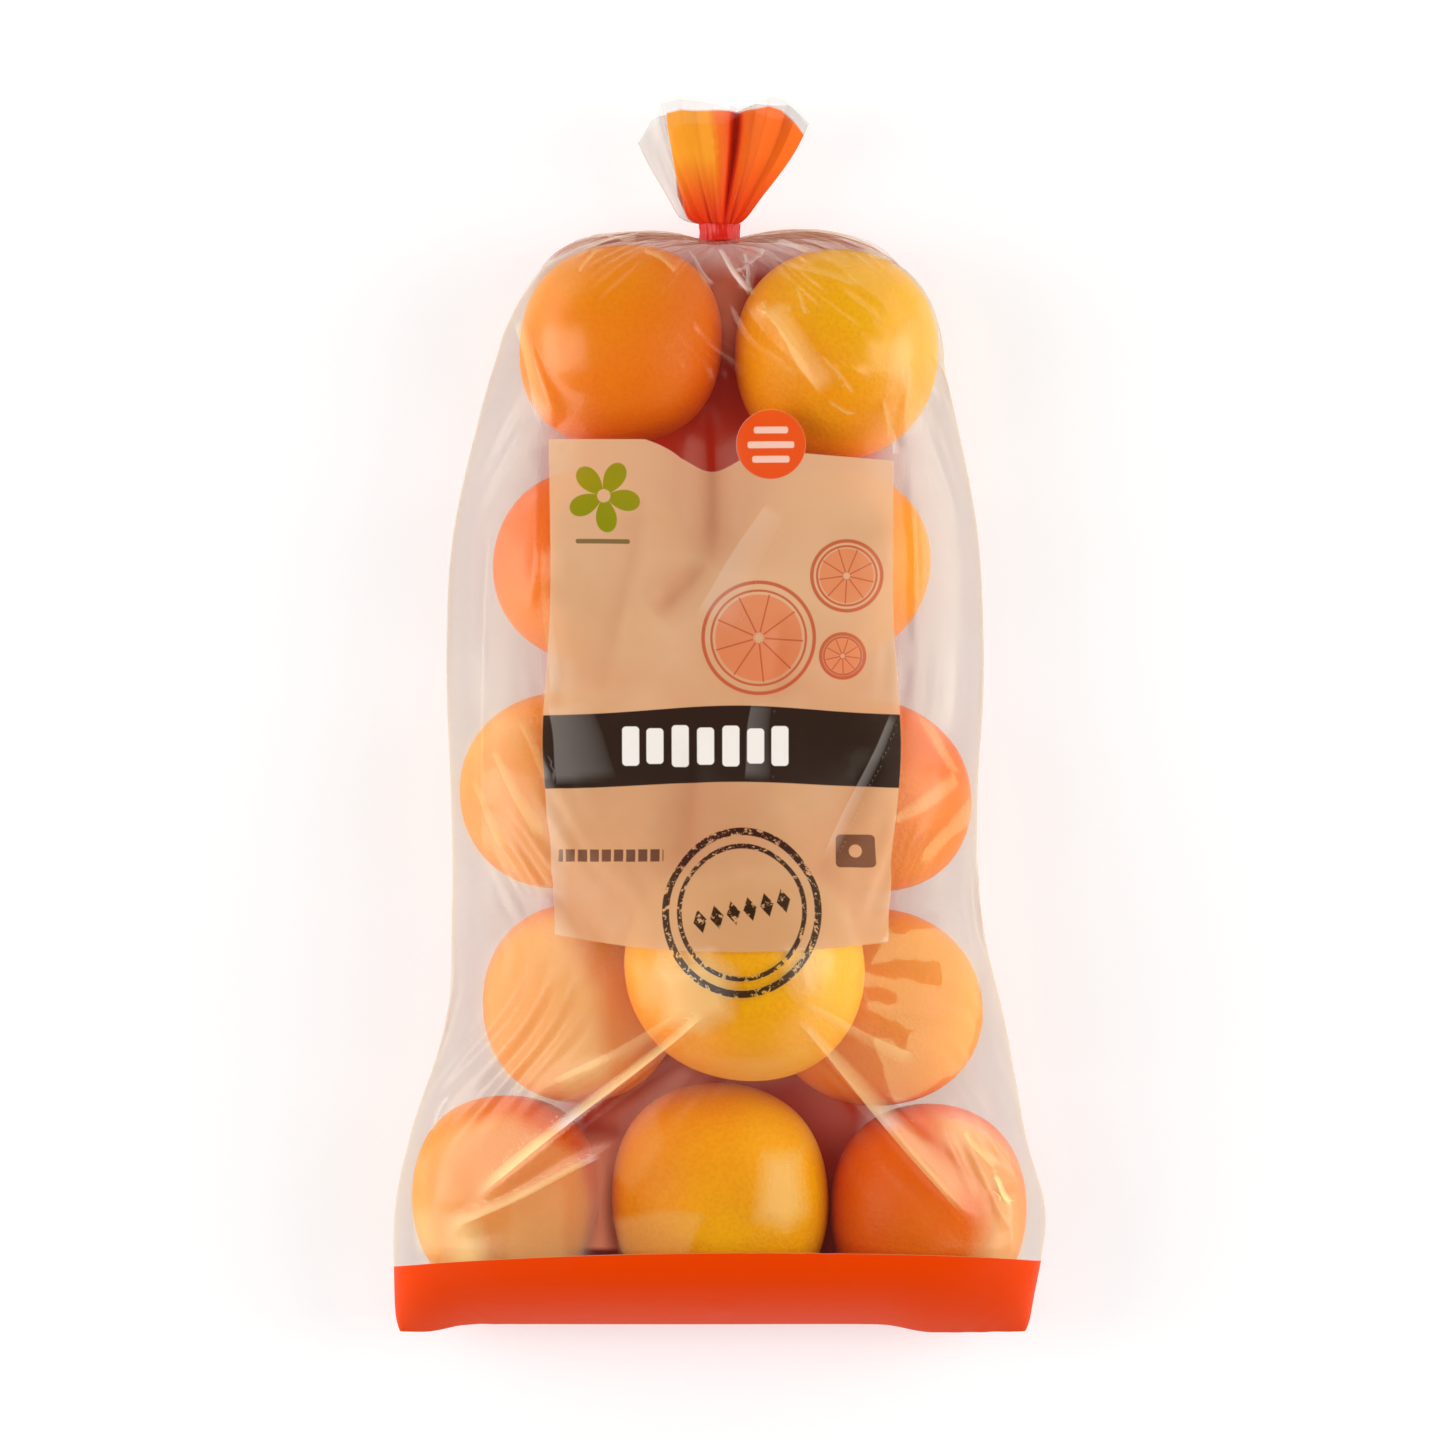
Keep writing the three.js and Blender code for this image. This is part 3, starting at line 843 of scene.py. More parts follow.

# Creases, where the film lies folded over itself, and strips of painted sheen where sloping film catches the
# light: from, to, how wide the pale strip is at its start and its end, on which side of the crease it lies,
# and how pale it is.
CREASES_AND_SHEEN = [
    ((-5.8, -115.3), (-94, -185.8), 3.2, 4.5, -1, 0.62),
    ((-17, -115), (-65.8, -140.9), 2, 12, 1, 0.22),
    ((-46, -170.5), (-101, -197), 2.5, 4.5, -1, 0.34),
    ((29.4, -117.3), (93.7, -193.1), 2.6, 13, 1, 0.42),
    ((32.5, -109.9), (77.4, -131.2), 2.5, 6, -1, 0.28),
    ((93.7, -160.2), (105.3, -174.9), 2, 4, 1, 0.3),
    ((104.5, -176.9), (111.8, -188.9), 1.6, 2.6, 1, 0.7),
    ((-112, -160), (-104, -146), 1.5, 3, 1, 0.3),
    ((-1.7, 181.1), (11.9, 162.5), 2, 2.8, 1, 0.5),
    ((9, 180), (10.8, 163.7), 1.3, 2, 1, 0.4),
    ((16.5, 157.9), (38.6, 125), 8, 10, 1, 0.46),
    ((19.3, 178.4), (54, 166), 1.5, 4, 1, 0.25),
    ((-29.7, 181), (-17, 172.7), 1.6, 2.2, 1, 0.4),
    ((-79.6, 153.6), (-70.5, 114), 4.5, 7.8, 1, 0.3),
    ((41.8, 121.5), (52.2, 117), 1.2, 1.6, 1, 0.35),
    ((63.5, 124), (64.6, 108), 1.5, 3, 1, 0.3),
    ((17.8, 83.6), (-9.7, 40.6), 9, 16, 1, 0.13),
    ((66, 2), (40, -54), 3, 5, 1, 0.16),
    ((-70, 66), (-66, 8), 3, 5, 1, 0.16),
    ((-66.5, 5), (-63, -26), 16, 24, 1, 0.13),
    ((12, 6), (9, -24), 8, 10, 1, 0.1),
    ((15.5, 161), (27.5, 158.5), 2.5, 4.5, -1, 0.5),
    ((26, 152.5), (16.5, 159), 1.5, 2.5, -1, 0.4),
    # Fine ones where the film is drawn together over the shoulders, and at the left of the panel.
    ((21, 183.9), (35.4, 179.6), 1.5, 2.6, 1, 0.4),
    ((28.2, 166.6), (33.2, 155.8), 1, 2.6, 1, 0.34),
    ((39.7, 140), (51.9, 125.7), 1, 2.2, 1, 0.34),
    ((55.5, 181), (67, 175.3), 1.6, 2.8, 1, 0.34),
    ((64.9, 112.7), (67.7, 101.2), 2, 3, 1, 0.4),
    ((70.6, 136.3), (72.8, 108.4), 5, 8, 1, 0.18),
    ((-53.3, 171.4), (-47.3, 183.4), 1.4, 2.2, 1, 0.34),
    ((-45.3, 186.7), (-32.1, 185.4), 1.2, 1.8, 1, 0.34),
    ((-71.9, 170.8), (-63.9, 178.7), 1.4, 2.2, 1, 0.3),
    ((-72.5, 164.1), (-68.2, 171.5), 1.2, 1.8, 1, 0.26),
    ((6, 172), (20, 181.5), 1.2, 2.4, 1, 0.3),
    ((-89, -12.8), (-71.6, -47.6), 3, 6, 1, 0.2),
    ((-96.8, -24.4), (-85, -51.5), 2, 5, 1, 0.16),
    ((-79, -1), (-67.7, -24.4), 2.5, 4, 1, 0.2),
    ((-12, 181), (-2, 168), 1, 3, -1, 0.26),
]

# Patches of pale haze where wrinkled film stands off the fruit, and of painted highlight where the film
# catches the soft boxes, each by its corners, how pale it is, and how softly it begins, in mm. In the clean
# patches, sharp-edged gaps in the painted highlights, the film lies close again.
HAZE_AND_HIGHLIGHT_PATCHES = [
    ([(-98, -78), (-96, -140), (-72, -154), (-40, -142), (-42, -104), (-62, -72)], 0.28, 9),
    ([(52, -104), (57, -119), (60, -147), (72, -149), (95, -136), (101, -115), (101, -92),
      (92, -72), (72, -70)], 0.22, 0.5),
    ([(-121, -172), (-119, -216), (-50, -216), (-46, -188), (-50, -168), (-80, -152), (-104, -154)], 0.24, 6),
    ([(-92, -170), (-48, -168), (-48, -224), (-96, -224)], 0.32, 14),
    ([(-113, -186), (-100, -183), (-86, -190), (-80, -224), (-115, -224)], 0.66, 14),
    ([(-43, -176), (-40, -152), (-24, -144), (-21, -166), (-34, -186)], 0.1, 3),
    ([(-42, -193), (-20, -189), (-4, -191), (-12, -209), (-40, -209)], 0.16, 3),
    ([(76, -148), (100, -145), (118, -162), (124, -186), (100, -192), (84, -168)], 0.4, 9),
    ([(99, -176), (124, -174), (122, -224), (93, -224)], 0.46, 12),
    ([(14, -166), (11, -196), (27, -201), (37, -192), (33, -165)], 0.4, 8),
    ([(75, 2), (82, -1), (94, -22), (88, -20)], 0.22, 1),
    ([(66, -38), (68, -42), (81, -36), (93, -26), (90.6, -20)], 0.26, 1.5),
    ([(78, -58), (98, -40), (97, -30), (78, -51)], 0.24, 1),
    ([(-103, -8), (-101, -48), (-86, -68), (-62, -78), (-60, -40), (-72, 2), (-88, 6)], 0.3, 9),
    ([(-88, -42), (-58, -36), (-58, -82), (-84, -72)], 0.3, 10),
    ([(62, 118), (64, 104), (76, 108), (88, 128), (86, 152), (76, 160), (66, 148)], 0.14, 3),
    ([(-36, -92), (-32, -112), (-14, -121), (-4, -120), (5, -114), (6, -93)], 0.34, 9),
    ([(24, -88), (24, -106), (30, -112), (40, -108), (44, -92)], 0.3, 5),
    ([(-29, -94), (-2, -88), (9, -97), (8, -117), (-6, -124), (-24, -120)], 0.6, 9),
    ([(26, -89), (39, -89), (39, -108), (30, -110)], 0.55, 5),
]
CLEAN_PATCHES = [
    [(66, -83), (65.5, -73), (71, -72), (87, -76.5), (85, -81)],
    [(57, -97.5), (67, -93), (86.5, -94), (85, -102.5), (63.5, -100.5)],
    [(54, -103), (63, -104), (71, -107.5), (69, -111), (57, -109.5)],
    [(49, -112.5), (58, -113), (76, -120.5), (71, -127.5), (49, -118)],
    [(52, -131), (56.5, -133.5), (66, -150), (60, -148)],
]
BAND_TOP = -207.0  # where the foot's orange band begins
# Patches of painted bounce light, where the fruit on both sides throws its light on the film, in the same
# way.
PAINTED_BOUNCE_PATCHES = [
    ([(-26, 183), (18, 186), (20, 150), (14, 136), (-14, 136), (-20, 150)], 0.5, 30),
    ([(-58, -158), (-34, -158), (-34, -222), (-62, -222)], 0.5, 12),
    ([(-56, -152), (-2, -122), (-2, -146), (-38, -170)], 0.16, 8),
]


def crease_and_sheen_fields(x, y):
    """At each place: how far it lies past the nearest crease or sheen strip, how wide the pale strip is
    there, and how pale, which is 0 away from all of them. The paleness is partly doubled film and partly
    painted sheen."""
    nearest = np.full(x.shape, 1e3)
    past, wide, pale = np.full(x.shape, -10.0), np.ones(x.shape), np.zeros(x.shape)
    for start, end, width_start, width_end, side, strength in CREASES_AND_SHEEN:
        along, aside = place_by_way(x, y, start, end)
        aside = side * aside + 0.5 * np.sin(along * 6.0 + start[0])
        width = width_start + (width_end - width_start) * along
        near = (aside > -1.8) & (aside < width + 1.8) & (along > -0.03) & (along < 1.03)
        apart = np.where(near, np.abs(aside - width / 2) - width / 2, 1e3)
        closer = (apart < nearest) & near
        nearest = np.where(closer, apart, nearest)
        past = np.where(closer, aside, past)
        wide = np.where(closer, width, wide)
        ends = np.clip(along / 0.06, 0, 1) * np.clip((1 - along) / 0.12, 0, 1)
        pale = np.where(closer, strength * ends * (aside < width + 0.6), pale)
    return np.stack([past, wide, pale], axis=-1)


def inside_corners(x, y, corners):
    """How far inside a patch with straight sides each place lies, in mm, and less than 0 outside."""
    corners = np.array(corners, float)
    after = np.roll(corners, -1, axis=0)
    leftward = np.sign((corners[:, 0] * after[:, 1] - after[:, 0] * corners[:, 1]).sum())
    inside = np.full(x.shape, 1e3)
    for start, end in zip(corners, after):
        inside = np.minimum(inside, leftward * place_by_way(x, y, start, end)[1])
    return inside


def veil_fields(x, y):
    """At each place: the film's even haze, how far inside a patch of pale haze and painted highlight it lies,
    how pale that is, and the painted bounce light of the fruit beside it."""
    wobble = upsized(random.uniform(-1.5, 1.5, size=(1, 90, 90)), rows, around)[0]
    cloud = upsized(random.uniform(0.4, 1.6, size=(1, 16, 16)), rows, around)[0]
    beside = ease(76, 108, np.abs(x))
    haze = 0.002 + np.minimum(gap * 0.0002, 0.004) + beside * np.minimum(gap * 0.003, 0.05)
    inside, pale = np.full(x.shape, -50.0), np.zeros(x.shape)
    for corners, strength, softness in HAZE_AND_HIGHLIGHT_PATCHES:
        here = inside_corners(x, y, corners)
        pale = np.maximum(pale, np.where(here > -3, strength * np.clip(here / softness, 0.001, 1), 0))
        inside = np.maximum(inside, here)
    inside = inside + wobble
    for corners in CLEAN_PATCHES:
        inside = np.minimum(inside, wobble - inside_corners(x, y, corners))
    pale = pale * (0.2 + 0.8 * over_fruit)
    # Painted bounce light: the fruit on both sides reddens the film between them.
    blush = np.zeros(x.shape)
    for corners, strength, softness in PAINTED_BOUNCE_PATCHES:
        share = np.clip(inside_corners(x, y, corners) / softness, 0, 1)
        blush = np.maximum(blush, strength * share * (1 - 0.75 * over_fruit))
    return np.stack([haze * cloud, inside, pale], axis=-1), blush * (0.8 + 0.2 * cloud)


seen_x, seen_y = film_at[:, :, 0], film_at[:, :, 1]
creases_and_sheen = crease_and_sheen_fields(seen_x, seen_y)
creases_and_sheen[:, :, 2] *= front_film
veil, blush = veil_fields(seen_x, seen_y)
veil[:, :, 2] *= front_film
veil[bag_end:] = (0.01, -50.0, 0.0)
set_attribute(film_piece, "crease", creases_and_sheen.reshape(-1, 3))
set_attribute(film_piece, "veil", veil.reshape(-1, 3))
blush[bag_end:] = 0
set_attribute(film_piece, "blush", (blush * front_film * (seen_y > BAND_TOP + 1.0)).ravel())

# The print, in mm as it shows from above: a tan panel with a dark band across it, plain motifs
# on both, and orange ink all over the foot and the mouth. Boxes are a middle and two half sides.
CRISP = 0.35
PANEL_MIDDLE, PANEL_HALF = 0.6, 65.4
PANEL_TOP, PANEL_BOTTOM = 103.5, -91.0
# The tan in painted shade and in painted light, and in the painted shade of the film's valleys.
TAN_IN_SHADE, TAN_IN_LIGHT, TAN_IN_DIP_SHADE = (214, 160, 112), (230, 184, 140), (188, 116, 78)
DARK_TOP, DARK_BOTTOM, DARK_INK = 1.0, -27.2, (40, 24, 14)
WORD_BARS = [(-34.6, 7.6), (-25.2, 6.9), (-15.4, 8.1), (-5.6, 7.2), (4.2, 7.9), (13.8, 6.8), (23.2, 7.7)]
WORD_MIDDLE, WORD_BAR_HALF, WORD_INK = -10.9, 3.3, (240, 232, 224)
WHEELS = [((15.0, 31.0), 21.5, 0.3), ((49.0, 55.0), 13.5, 1.0), ((47.5, 24.0), 8.5, 0.6)]
PULP_INK, RIND_INK = (232, 112, 54), (196, 74, 38)
BADGE, BADGE_RADIUS, BADGE_INK = (19.7, 106.0), 13.4, (232, 80, 16)
BADGE_BARS, BADGE_BAR_INK = [(111.5, 6.6), (105.8, 9.0), (100.2, 7.2)], (246, 206, 186)
BLOSSOM, BLOSSOM_RADIUS, BLOSSOM_HOLE, BLOSSOM_INK = (-45.0, 86.0), 15.0, 2.6, (140, 148, 14)
CAPTION, CAPTION_INK = ((-45.5, 68.3), (10.5, 0.9)), (80, 80, 20)
DASHES, DASH_STEP = ((-42.4, -53.2), (20.4, 2.4)), 4.7
TAB, TAB_HOLE, SEPIA_INK = ((52.5, -51.5), (7.6, 6.4)), 2.5, (58, 34, 18)
STAMP, STAMP_TALL, STAMP_TILT, STAMP_INK = (8.5, -75.5), 1.1, 0.24, (44, 26, 16)
STAMP_RINGS = [(28.6, 1.5), (23.4, 1.0)]
DIAMOND_STEP, DIAMOND_ROW_HALF = 6.4, 19.2
# The back carries a deep orange-red panel, soft at its edges, that stands in for the shade in the gaps
# between the oranges: painted shade.
BACK_HALF, BACK_TOP, BACK_FADE, BACK_SHADE_INK = 66.0, 184.0, 28.0, (226, 56, 10)
BAND_BEND, BAND_SLOPE, BACK_BAND_LOWER, BAND_INK = 0.00025, -0.009, 9.0, (232, 64, 0)
# The mouth's orange ink, with painted light on the fan's flat left part, a stripe of painted shade in its
# deep fold, and a deeper red low down by the tie.
MOUTH_INK, MOUTH_PAINTED_LIGHT = (244, 108, 20), (248, 158, 34)
MOUTH_FOLD_SHADE, MOUTH_LOW_INK = (222, 30, 6), (228, 42, 8)
INK_LEAN = 0.36  # how far the left limit of the mouth's ink moves outward towards the tie


def attribute(tree, name):
    parts = add_node(tree, "ShaderNodeSeparateXYZ", sockets=[
        add_node(tree, "ShaderNodeAttribute", {"attribute_name": name}).outputs["Vector"]])
    return [Field(part) for part in parts.outputs]


def inked(tree, colour, layers):
    """Lays inks over a colour in turn, each by its amount at each place."""
    for amount, ink in layers:
        colour = mix_colours(tree, amount, colour, linear(*ink))
    return colour


def bell(field, middle, width):
    """A smooth hump of height 1 at middle."""
    away = (field - middle) * (1.0 / width)
    return (away * away * -1.0).math("EXPONENT")


def below(field, edge, blur=CRISP):
    return 1.0 - field.above(edge, blur)


def distance_from(x, y, centre):
    dx, dy = x - centre[0], y - centre[1]
    return (dx * dx + dy * dy).math("SQRT")


def angle_round(x, y, centre):
    return (y - centre[1]).math("ARCTAN2", x - centre[0])


def inside_box(x, y, centre, half, corner):
    """1 inside a box with rounded corners."""
    dx = (abs(x - centre[0]) - (half[0] - corner)).most(0.0)
    dy = (abs(y - centre[1]) - (half[1] - corner)).most(0.0)
    return below((dx * dx + dy * dy).math("SQRT"), corner)


def any_of(masks):
    whole = masks[0]
    for mask in masks[1:]:
        whole = whole.most(mask)
    return whole


def turned(x, y, centre, angle):
    """The place seen from centre, with the axes turned by angle."""
    dx, dy = x - centre[0], y - centre[1]
    return dx * math.cos(angle) + dy * math.sin(angle), dy * math.cos(angle) - dx * math.sin(angle)


def fruit_wheel(x, y, centre, radius, turn):
    """A cut citrus wheel: the pulp between its lines, and the lines."""
    away = distance_from(x, y, centre)
    rims = below(abs(away - radius), 0.7).most(below(abs(away - radius * 0.85), 0.45))
    spokes = (angle_round(x, y, centre) * 4.5 + turn).math("SINE")
    spokes = below(abs(spokes) * away, 0.75 + radius * 0.03)
    within = below(away, radius * 0.8) * away.above(radius * 0.1, CRISP)
    return below(away, radius * 0.78) * (1.0 - spokes), rims.most(spokes * within)


def blossom(x, y):
    """Five petals round a hole."""
    away = distance_from(x, y, BLOSSOM)
    petals = abs((angle_round(x, y, BLOSSOM) * 2.5 + 0.5).math("COSINE")) ** 0.6
    return below(away - petals * (BLOSSOM_RADIUS * 0.85), 1.5) * away.above(BLOSSOM_HOLE, CRISP)


def stamp(tree, x, y):
    """Two rings round a row of diamonds, tilted, and worn as if by a rubber stamp."""
    away = distance_from(x, (y - STAMP[1]) * (1 / STAMP_TALL), (STAMP[0], 0.0))
    rings = [below(abs(away - radius), wide * 0.9) for radius, wide in STAMP_RINGS]
    along, across = turned(x, y, STAMP, STAMP_TILT)
    diamonds = abs((along * (1 / DIAMOND_STEP)).math("FRACT") - 0.5) * DIAMOND_STEP + abs(across) * 0.56
    diamonds = below(diamonds, 2.6) * below(abs(along), DIAMOND_ROW_HALF)
    wear = noise(tree, object_place(tree), 420.0, 3.0, 0.7)
    return any_of(rings).most(diamonds) * below(wear, 0.58, 0.08)


def panel_print(tree):
    """The front panel's inks: their colour, how much of the film they cover, and how much of
    that is too dense for pale film to show on it."""
    x, y, _ = attribute(tree, "film_at")
    half = bell(y, -13.0, 38.0) * 4.2 + y * 0.013 + PANEL_HALF
    top = bell(x, -3.0, 12.0) * -8.0 + below(x, -22.0, 14.0) * 4.5 + PANEL_TOP - x.above(50.0, 60.0) * 5.0
    low = (x - 8.0) * (x - 8.0) * 0.0014 + PANEL_BOTTOM
    panel = below(abs(x - PANEL_MIDDLE) - half, 0.0) * (y - low).above(0.0, CRISP) * below(y - top, 0.0)
    arch = bell(x, 6.0, 42.0)
    dark = panel * (y - arch * 2.4).above(DARK_BOTTOM, CRISP) * below(y - arch * 3.8, DARK_TOP)
    # Broad, soft light and shade painted over the tan, in random patches and lighter towards the panel's top.
    painted_shading = (noise(tree, object_place(tree), 24.0, 3.0) - 0.5) * 2.0
    painted_shading = (painted_shading + y * 0.008 + 0.55).clamped()
    tan = mix_colours(tree, painted_shading, linear(*TAN_IN_SHADE), linear(*TAN_IN_LIGHT))
    # Painted shade in the film's valleys.
    tan = inked(tree, tan, [(named_field(tree, "dip") ** 0.7 * 0.62, TAN_IN_DIP_SHADE)])

    layers = []
    for wheel in WHEELS:
        pulp, lines = fruit_wheel(x, y, *wheel)
        layers += [(pulp * panel * 0.62, PULP_INK), (lines * panel * 0.85, RIND_INK)]
    dashes = (x * (1 / DASH_STEP)).math("FRACT").above(0.24, 0.08) * inside_box(x, y, *DASHES, 0.6)
    tab = inside_box(x, y, *TAB, 1.8) * distance_from(x, y, TAB[0]).above(TAB_HOLE, CRISP)
    words = [inside_box(x, y, (at, WORD_MIDDLE), (WORD_BAR_HALF, tall), 1.5) for at, tall in WORD_BARS]
    badge = below(distance_from(x, y, BADGE), BADGE_RADIUS)
    badge_bars = [inside_box(x, y, (BADGE[0], at), (wide, 1.3), 0.9) for at, wide in BADGE_BARS]
    marks = stamp(tree, x, y)
    colour = inked(tree, mix_colours(tree, panel, film_haze(tree), tan), layers + [
        (blossom(x, y), BLOSSOM_INK), (inside_box(x, y, *CAPTION, 0.8) * 0.8, CAPTION_INK),
        (dashes.most(tab) * 0.9, SEPIA_INK), (dark, DARK_INK), (any_of(words), WORD_INK),
        (badge, BADGE_INK), (any_of(badge_bars) * 0.9, BADGE_BAR_INK), (marks, STAMP_INK)])
    return colour, (panel * 0.81).most(dark * 0.99).most(badge * 0.94).most(marks * 0.92), marks


def end_print(tree):
    """The inks of the foot and of the mouth, with painted light and shade on the mouth's fan, and of the
    back, whose deep orange-red panel is painted shade for the gaps between the oranges, in the same way.
    """
    x, y, side = attribute(tree, "film_at")
    across, up, _ = attribute(tree, "mouth_at")
    on_back = below(side, 0.0, 0.5)
    # A deep orange-red panel on the back, soft at its edges, stands in for the shade in the gaps between the
    # oranges: painted shade.
    back_shade_panel = on_back * below(abs(x), BACK_HALF, BACK_FADE) * below(y, BACK_TOP, BACK_FADE)
    band = below(y + x * x * BAND_BEND + x * BAND_SLOPE + on_back * BACK_BAND_LOWER, BAND_TOP)
    top_margin = bell(across, 0.2, 0.28) * 0.07 + 0.89
    left_limit = (across + (1.0 - up).most(0.0) ** 1.2 * INK_LEAN).above(-0.49, 0.02)
    frill = up.above(-0.5, 0.2) * below(up - top_margin, 0.0, 0.02) * left_limit
    streaks = noise(tree, object_place(tree), 300.0, 2.0)
    # Painted light on the fan's flat left part, and painted shade in its deep fold.
    lit_side = below(across + up * 0.1 + (streaks - 0.5) * 0.08, 0.04, 0.1) * up.above(0.3, 0.4)
    mouth_ink = mix_colours(tree, lit_side, linear(*MOUTH_INK), linear(*MOUTH_PAINTED_LIGHT))
    mouth_ink = inked(tree, mouth_ink, [
        (bell(across + up * 0.04, 0.22, 0.09) * 0.85, MOUTH_FOLD_SHADE),
        (below(up, 0.3, 0.5) * 0.85, MOUTH_LOW_INK)])
    colour = mix_colours(tree, on_back, film_haze(tree), BACK_HAZE)
    colour = inked(tree, colour, [(back_shade_panel, BACK_SHADE_INK), (band, BAND_INK)])
    colour = mix_colours(tree, frill, colour, mouth_ink)
    lying = below(side, -9.0, 14.0) * BACK_COVER
    return colour, lying.most(back_shade_panel).most(band).most(frill * 0.93), band


# The film itself: the colour of its haze where it is bare, over fruit, where painted light from the fruit
# under it warms it, between fruit, where painted bounce light from the fruit beside it reddens it, and on the
# back, how much the back's haze covers, and how much light of each colour gets through.
FILM_HAZE = linear(250, 240, 232)
FRUIT_LIT_HAZE = linear(253, 214, 142)
PAINTED_BOUNCE_HAZE = linear(240, 140, 104)
BACK_HAZE = linear(220, 200, 187)
BACK_COVER = 0.45
FRONT_CLEAR = (0.965, 0.935, 0.91, 1.0)
BACK_CLEAR = (0.84, 0.85, 0.85, 1.0)
SHINE = (1.0, 0.94, 0.76, 1.0)
FLAT_GLOSS, EDGE_GLOSS, EDGE_HAZE = 0.037, 0.7, 0.3
DENSE_INK, MATT_DIPS = 0.85, 0.85  # how much dense ink hides haze, and how dull the dips are


def film_haze(tree):
    """The film's own haze: white, and warm with painted light from the fruit where fruit lies under it."""
    return mix_colours(tree, named_field(tree, "over_fruit"), FILM_HAZE, FRUIT_LIT_HAZE)


def film_material(name, printer, clear_colour, dulling, veiling):
    """Clear film: what is behind it shows through, but for its haze, which carries painted highlights and
    painted bounce light, its creases, which carry painted sheen, and its print, which dulls its shine and
    lets only part of the haze show."""
    material, tree = new_material(name)
    past, wide, doubled = attribute(tree, "crease")
    haze, inside, pale = attribute(tree, "veil")
    blush = named_field(tree, "blush")
    crinkle = noise(tree, object_place(tree), 160.0, 2.0)
    bump = add_node(tree, "ShaderNodeBump", sockets={"Height": crinkle, "Strength": 0.12, "Distance": 0.0015})
    facing = Field(add_node(tree, "ShaderNodeLayerWeight", sockets={"Blend": 0.5}).outputs["Facing"])
    strip = past.above(0.0, 0.5) * (1.0 - past / wide).clamped() ** 0.6
    # The haze gathers the crease strips' painted sheen, the patches' painted highlights and the fruit's
    # painted bounce light.
    haze = haze + facing ** 3.0 * EDGE_HAZE + strip * doubled + inside.above(0.0, 0.9) * pale + blush
    colour = mix_colours(tree, (blush / haze).clamped(), film_haze(tree), PAINTED_BOUNCE_HAZE)
    ink = haze
    gloss = (facing ** 5.0 * EDGE_GLOSS + FLAT_GLOSS) * (1.0 - named_field(tree, "dip") * MATT_DIPS)
    if printer:
        print_colour, cover, dense = printer(tree)
        ink = haze + cover * (1.0 - haze)
        veil = mix_colours(tree, cover, colour, FILM_HAZE)
        share = haze * veiling / ink * (1.0 - dense * DENSE_INK)
        colour = mix_colours(tree, share.clamped(), print_colour, veil)
        gloss = gloss * (1.0 - ink * dulling)
    matt = add_node(tree, "ShaderNodeBsdfPrincipled", sockets={
        "Base Color": colour, "Roughness": 0.5, "Specular IOR Level": 0.03, "Normal": bump.outputs[0]})
    clear = add_node(tree, "ShaderNodeBsdfTransparent", sockets={"Color": clear_colour})
    shine = add_node(tree, "ShaderNodeBsdfGlossy", sockets={
        "Color": SHINE, "Roughness": 0.22, "Normal": bump.outputs[0]})
    sheet = add_node(tree, "ShaderNodeMixShader", sockets=[ink, clear.outputs[0], matt.outputs[0]])
    surface = add_node(tree, "ShaderNodeMixShader", sockets=[gloss, sheet.outputs[0], shine.outputs[0]])
    finish_material(tree, surface.outputs[0])
    return material


BARE, PANEL, ENDS, FOOT = range(4)  # the film's four finishes, in this order
for finish_values in (
        ("clear_film", None, FRONT_CLEAR, 0.0, 1.0),
        ("printed_panel", panel_print, FRONT_CLEAR, 0.8, 1.0),
        ("printed_ends", end_print, BACK_CLEAR, 0.95, 0.05),
        ("printed_foot", end_print, FRONT_CLEAR, 0.95, 0.05)):
    film_piece.data.materials.append(film_material(*finish_values))

# Which finish each face of the film has.
face_x, face_y = film_at[:-1, :, 0], film_at[:-1, :, 1]
on_front = np.broadcast_to((np.arange(around) < FRONT_STEPS)[None, :], face_x.shape)
finish = np.full(face_x.shape, BARE)
finish[on_front & (np.abs(face_x) < 78) & (face_y > -116) & (face_y < 126)] = PANEL
finish[on_front & (face_y < BAND_TOP + 0.5)] = FOOT
finish[~on_front] = ENDS
finish[bag_end:] = ENDS
up_there = up_frill[bag_end:-1]
bare = (across_mouth < -0.53 - INK_LEAN * np.clip(1 - up_there, 0, 1) ** 1.2) | (up_there > 0.97)
finish[bag_end:][on_front[bag_end:] & bare & (up_there > 0)] = BARE
finish = np.concatenate([finish.ravel(), np.full(len(film_piece.data.polygons) - finish.size, ENDS)])
film_piece.data.polygons.foreach_set("material_index", finish)
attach(film_piece, "root")
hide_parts("bag")

# ---- The tie ----------------------------------------------------------------------------
# Red plastic tape, wound tightly round the gathered neck and stuck to itself, with the creases
# that the pleats under it press through.

TIE_START, TIE_END = 183.6, 190.2
TIE_RADIUS, TIE_THICKNESS = 6.9, 1.15
TIE_STEPS, TIE_ROWS = 160, 12
TIE_WAIST = 0.05  # how much tighter the band's middle sits, as a share of its radius
LAP_START, LAP_WIDTH, LAP_HEIGHT = 0.9, 1.6, 0.35  # the tape's end: two angles and a height in mm


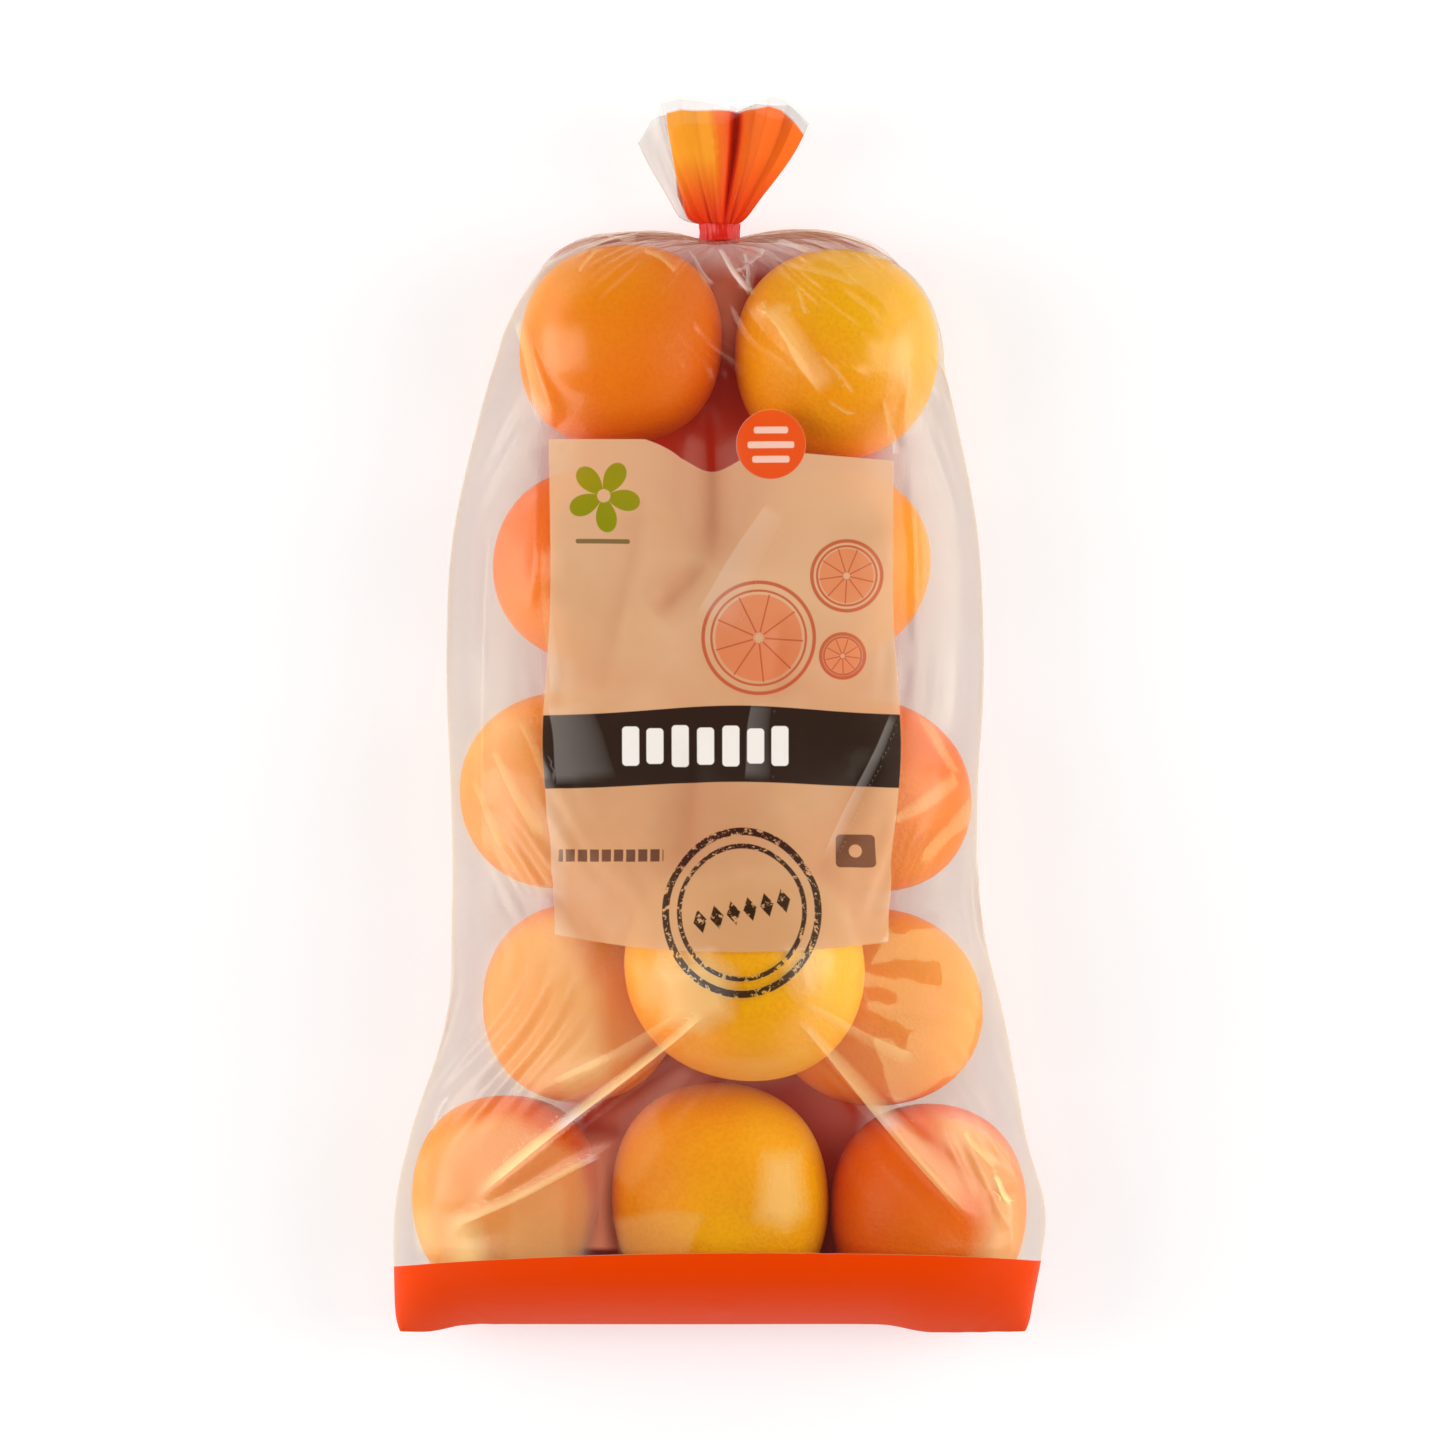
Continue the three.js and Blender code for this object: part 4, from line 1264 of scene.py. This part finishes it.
def tie_mesh():
    """The band's outside, and its inside against the pleats, as one closed loop of rings."""
    turn = np.linspace(0, 2 * math.pi, TIE_STEPS, endpoint=False)
    lapped = np.mod(turn - LAP_START, 2 * math.pi)
    lap = LAP_HEIGHT * ease(0.0, 0.05, lapped) * (lapped < LAP_WIDTH)
    rings = []
    for share in [*np.linspace(0, 1, TIE_ROWS), 1.0, 0.5, 0.0]:
        y = TIE_START + (TIE_END - TIE_START) * share
        if len(rings) < TIE_ROWS:
            waist = 1 - TIE_WAIST * math.sin(share * math.pi)
            crease = 0.28 * np.sin(11 * turn + 1.6 * share) + 0.18 * np.sin(23 * turn - 2.2 * share + 1.0)
            out = (TIE_RADIUS + TIE_THICKNESS) * waist + crease * 0.6 + lap
            y = y + 0.35 * np.sin(3 * turn + 0.7) * (share - 0.5) * 2
        else:
            out = TIE_RADIUS + 0.3 * np.sin(11 * turn)
        ring = [NECK[0] + out * np.cos(turn), y + 0 * turn, NECK[2] + out * np.sin(turn)]
        rings.append(np.stack(ring, axis=1))
    index = np.arange(len(rings) * TIE_STEPS).reshape(len(rings), TIE_STEPS)
    after, beside = np.roll(index, -1, axis=0), np.roll(index, -1, axis=1)
    faces = np.stack([index, after, np.roll(after, -1, axis=1), beside], axis=-1).reshape(-1, 4)
    return np.concatenate(rings) * MM, faces.tolist()


def tape_material():
    material, tree = new_material("red_tape")
    smudge = noise(tree, object_place(tree), 260.0, 3.0)
    colour = mix_colours(tree, smudge, linear(206, 22, 6), linear(232, 34, 10))
    tape = add_node(tree, "ShaderNodeBsdfPrincipled", sockets={
        "Base Color": colour, "Roughness": 0.32, "Specular IOR Level": 0.35})
    finish_material(tree, tape.outputs[0])
    return material


tie_points, tie_faces = tie_mesh()
tie = mesh_piece("neck_tape", tie_points, tie_faces)
tie.data.materials.append(tape_material())
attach(tie, "root")
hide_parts("neck_tie")

# ---- The studio -------------------------------------------------------------------------
# A plain white floor, soft boxes at both sides and overhead, and a camera that looks straight
# down from high above.

SIDE_POWER, TOP_POWER = 8.9, 7.5
WALL_LIGHT, END_LIGHT, CEILING_LIGHT = 1.8, 0.18, 0.1
FLOOR_HALF, FLOOR_GLOW = 3.0, 0.45
PAPER_DARK, PAPER_LIGHT = (0.6, 0.6, 0.6, 1), (0.64, 0.64, 0.64, 1)
PIXEL, FRAME_PIXELS = 0.387 * MM, 1440
VIEW_OFFSET = -2  # how far the middle of the frame lies from the bag's, in pixels
SENSOR = 36.0


def soft_box(name, place, size, power):
    light = bpy.data.lights.new(name, "AREA")
    light.shape = "RECTANGLE"
    light.size, light.size_y = size
    light.energy = power
    lamp = bpy.data.objects.new(name, light)
    lamp.location = place
    bpy.context.scene.collection.objects.link(lamp)
    lamp.rotation_mode = "QUATERNION"
    lamp.rotation_quaternion = (Vector((0, 0, 0.05)) - Vector(place)).to_track_quat("-Z", "Y")
    return lamp


def make_floor():
    corners = [(FLOOR_HALF * x, FLOOR_HALF * y, 0) for x, y in ((-1, -1), (1, -1), (1, 1), (-1, 1))]
    floor = mesh_piece("floor", corners, [[0, 1, 2, 3]])
    material, tree = new_material("floor_paper")
    grain = noise(tree, object_place(tree), 400.0)
    colour = mix_colours(tree, grain, PAPER_DARK, PAPER_LIGHT)
    paper = add_node(tree, "ShaderNodeBsdfPrincipled", sockets={
        "Base Color": colour, "Roughness": 0.9,
        "Emission Color": (1, 1, 1, 1), "Emission Strength": FLOOR_GLOW})
    finish_material(tree, paper.outputs[0])
    floor.data.materials.append(material)


make_floor()
soft_box("left_box", (-1.1, 0.05, 0.8), (0.7, 1.3), SIDE_POWER)
soft_box("right_box", (1.1, 0.05, 0.8), (0.7, 1.3), SIDE_POWER)
soft_box("top_box", (0.0, 0.0, 2.3), (1.2, 1.2), TOP_POWER).visible_glossy = False

# The room: white walls all round, and a dark ceiling, so that the film's top stays clear.
world = bpy.data.worlds.new("room")
bpy.context.scene.world = world
world.use_nodes = True
room = world.node_tree
room.nodes.clear()
sideward, _, upward = add_node(room, "ShaderNodeSeparateXYZ", sockets=[
    add_node(room, "ShaderNodeTexCoord").outputs["Generated"]]).outputs
low_down = 1.0 - Field(upward).above(0.5, 0.3)
sideways = abs(Field(sideward)).above(0.45, 0.5)
strength = low_down * (sideways * (WALL_LIGHT - END_LIGHT) + END_LIGHT) + CEILING_LIGHT
background = add_node(room, "ShaderNodeBackground", sockets={"Color": (1, 1, 1, 1), "Strength": strength})
add_node(room, "ShaderNodeOutputWorld", sockets={"Surface": background.outputs[0]})

camera_data = bpy.data.cameras.new("camera")
camera_data.sensor_width = SENSOR
camera_data.lens = SENSOR * (VIEW_HEIGHT - FILM_PLANE) / (FRAME_PIXELS * PIXEL)
camera_data.clip_end = 20.0
camera = bpy.data.objects.new("camera", camera_data)
camera.location = (0, VIEW_OFFSET * PIXEL, VIEW_HEIGHT)
bpy.context.scene.collection.objects.link(camera)
bpy.context.scene.camera = camera
bpy.context.scene.view_settings.view_transform = "Standard"
bpy.context.scene.cycles.transparent_max_bounces = 32
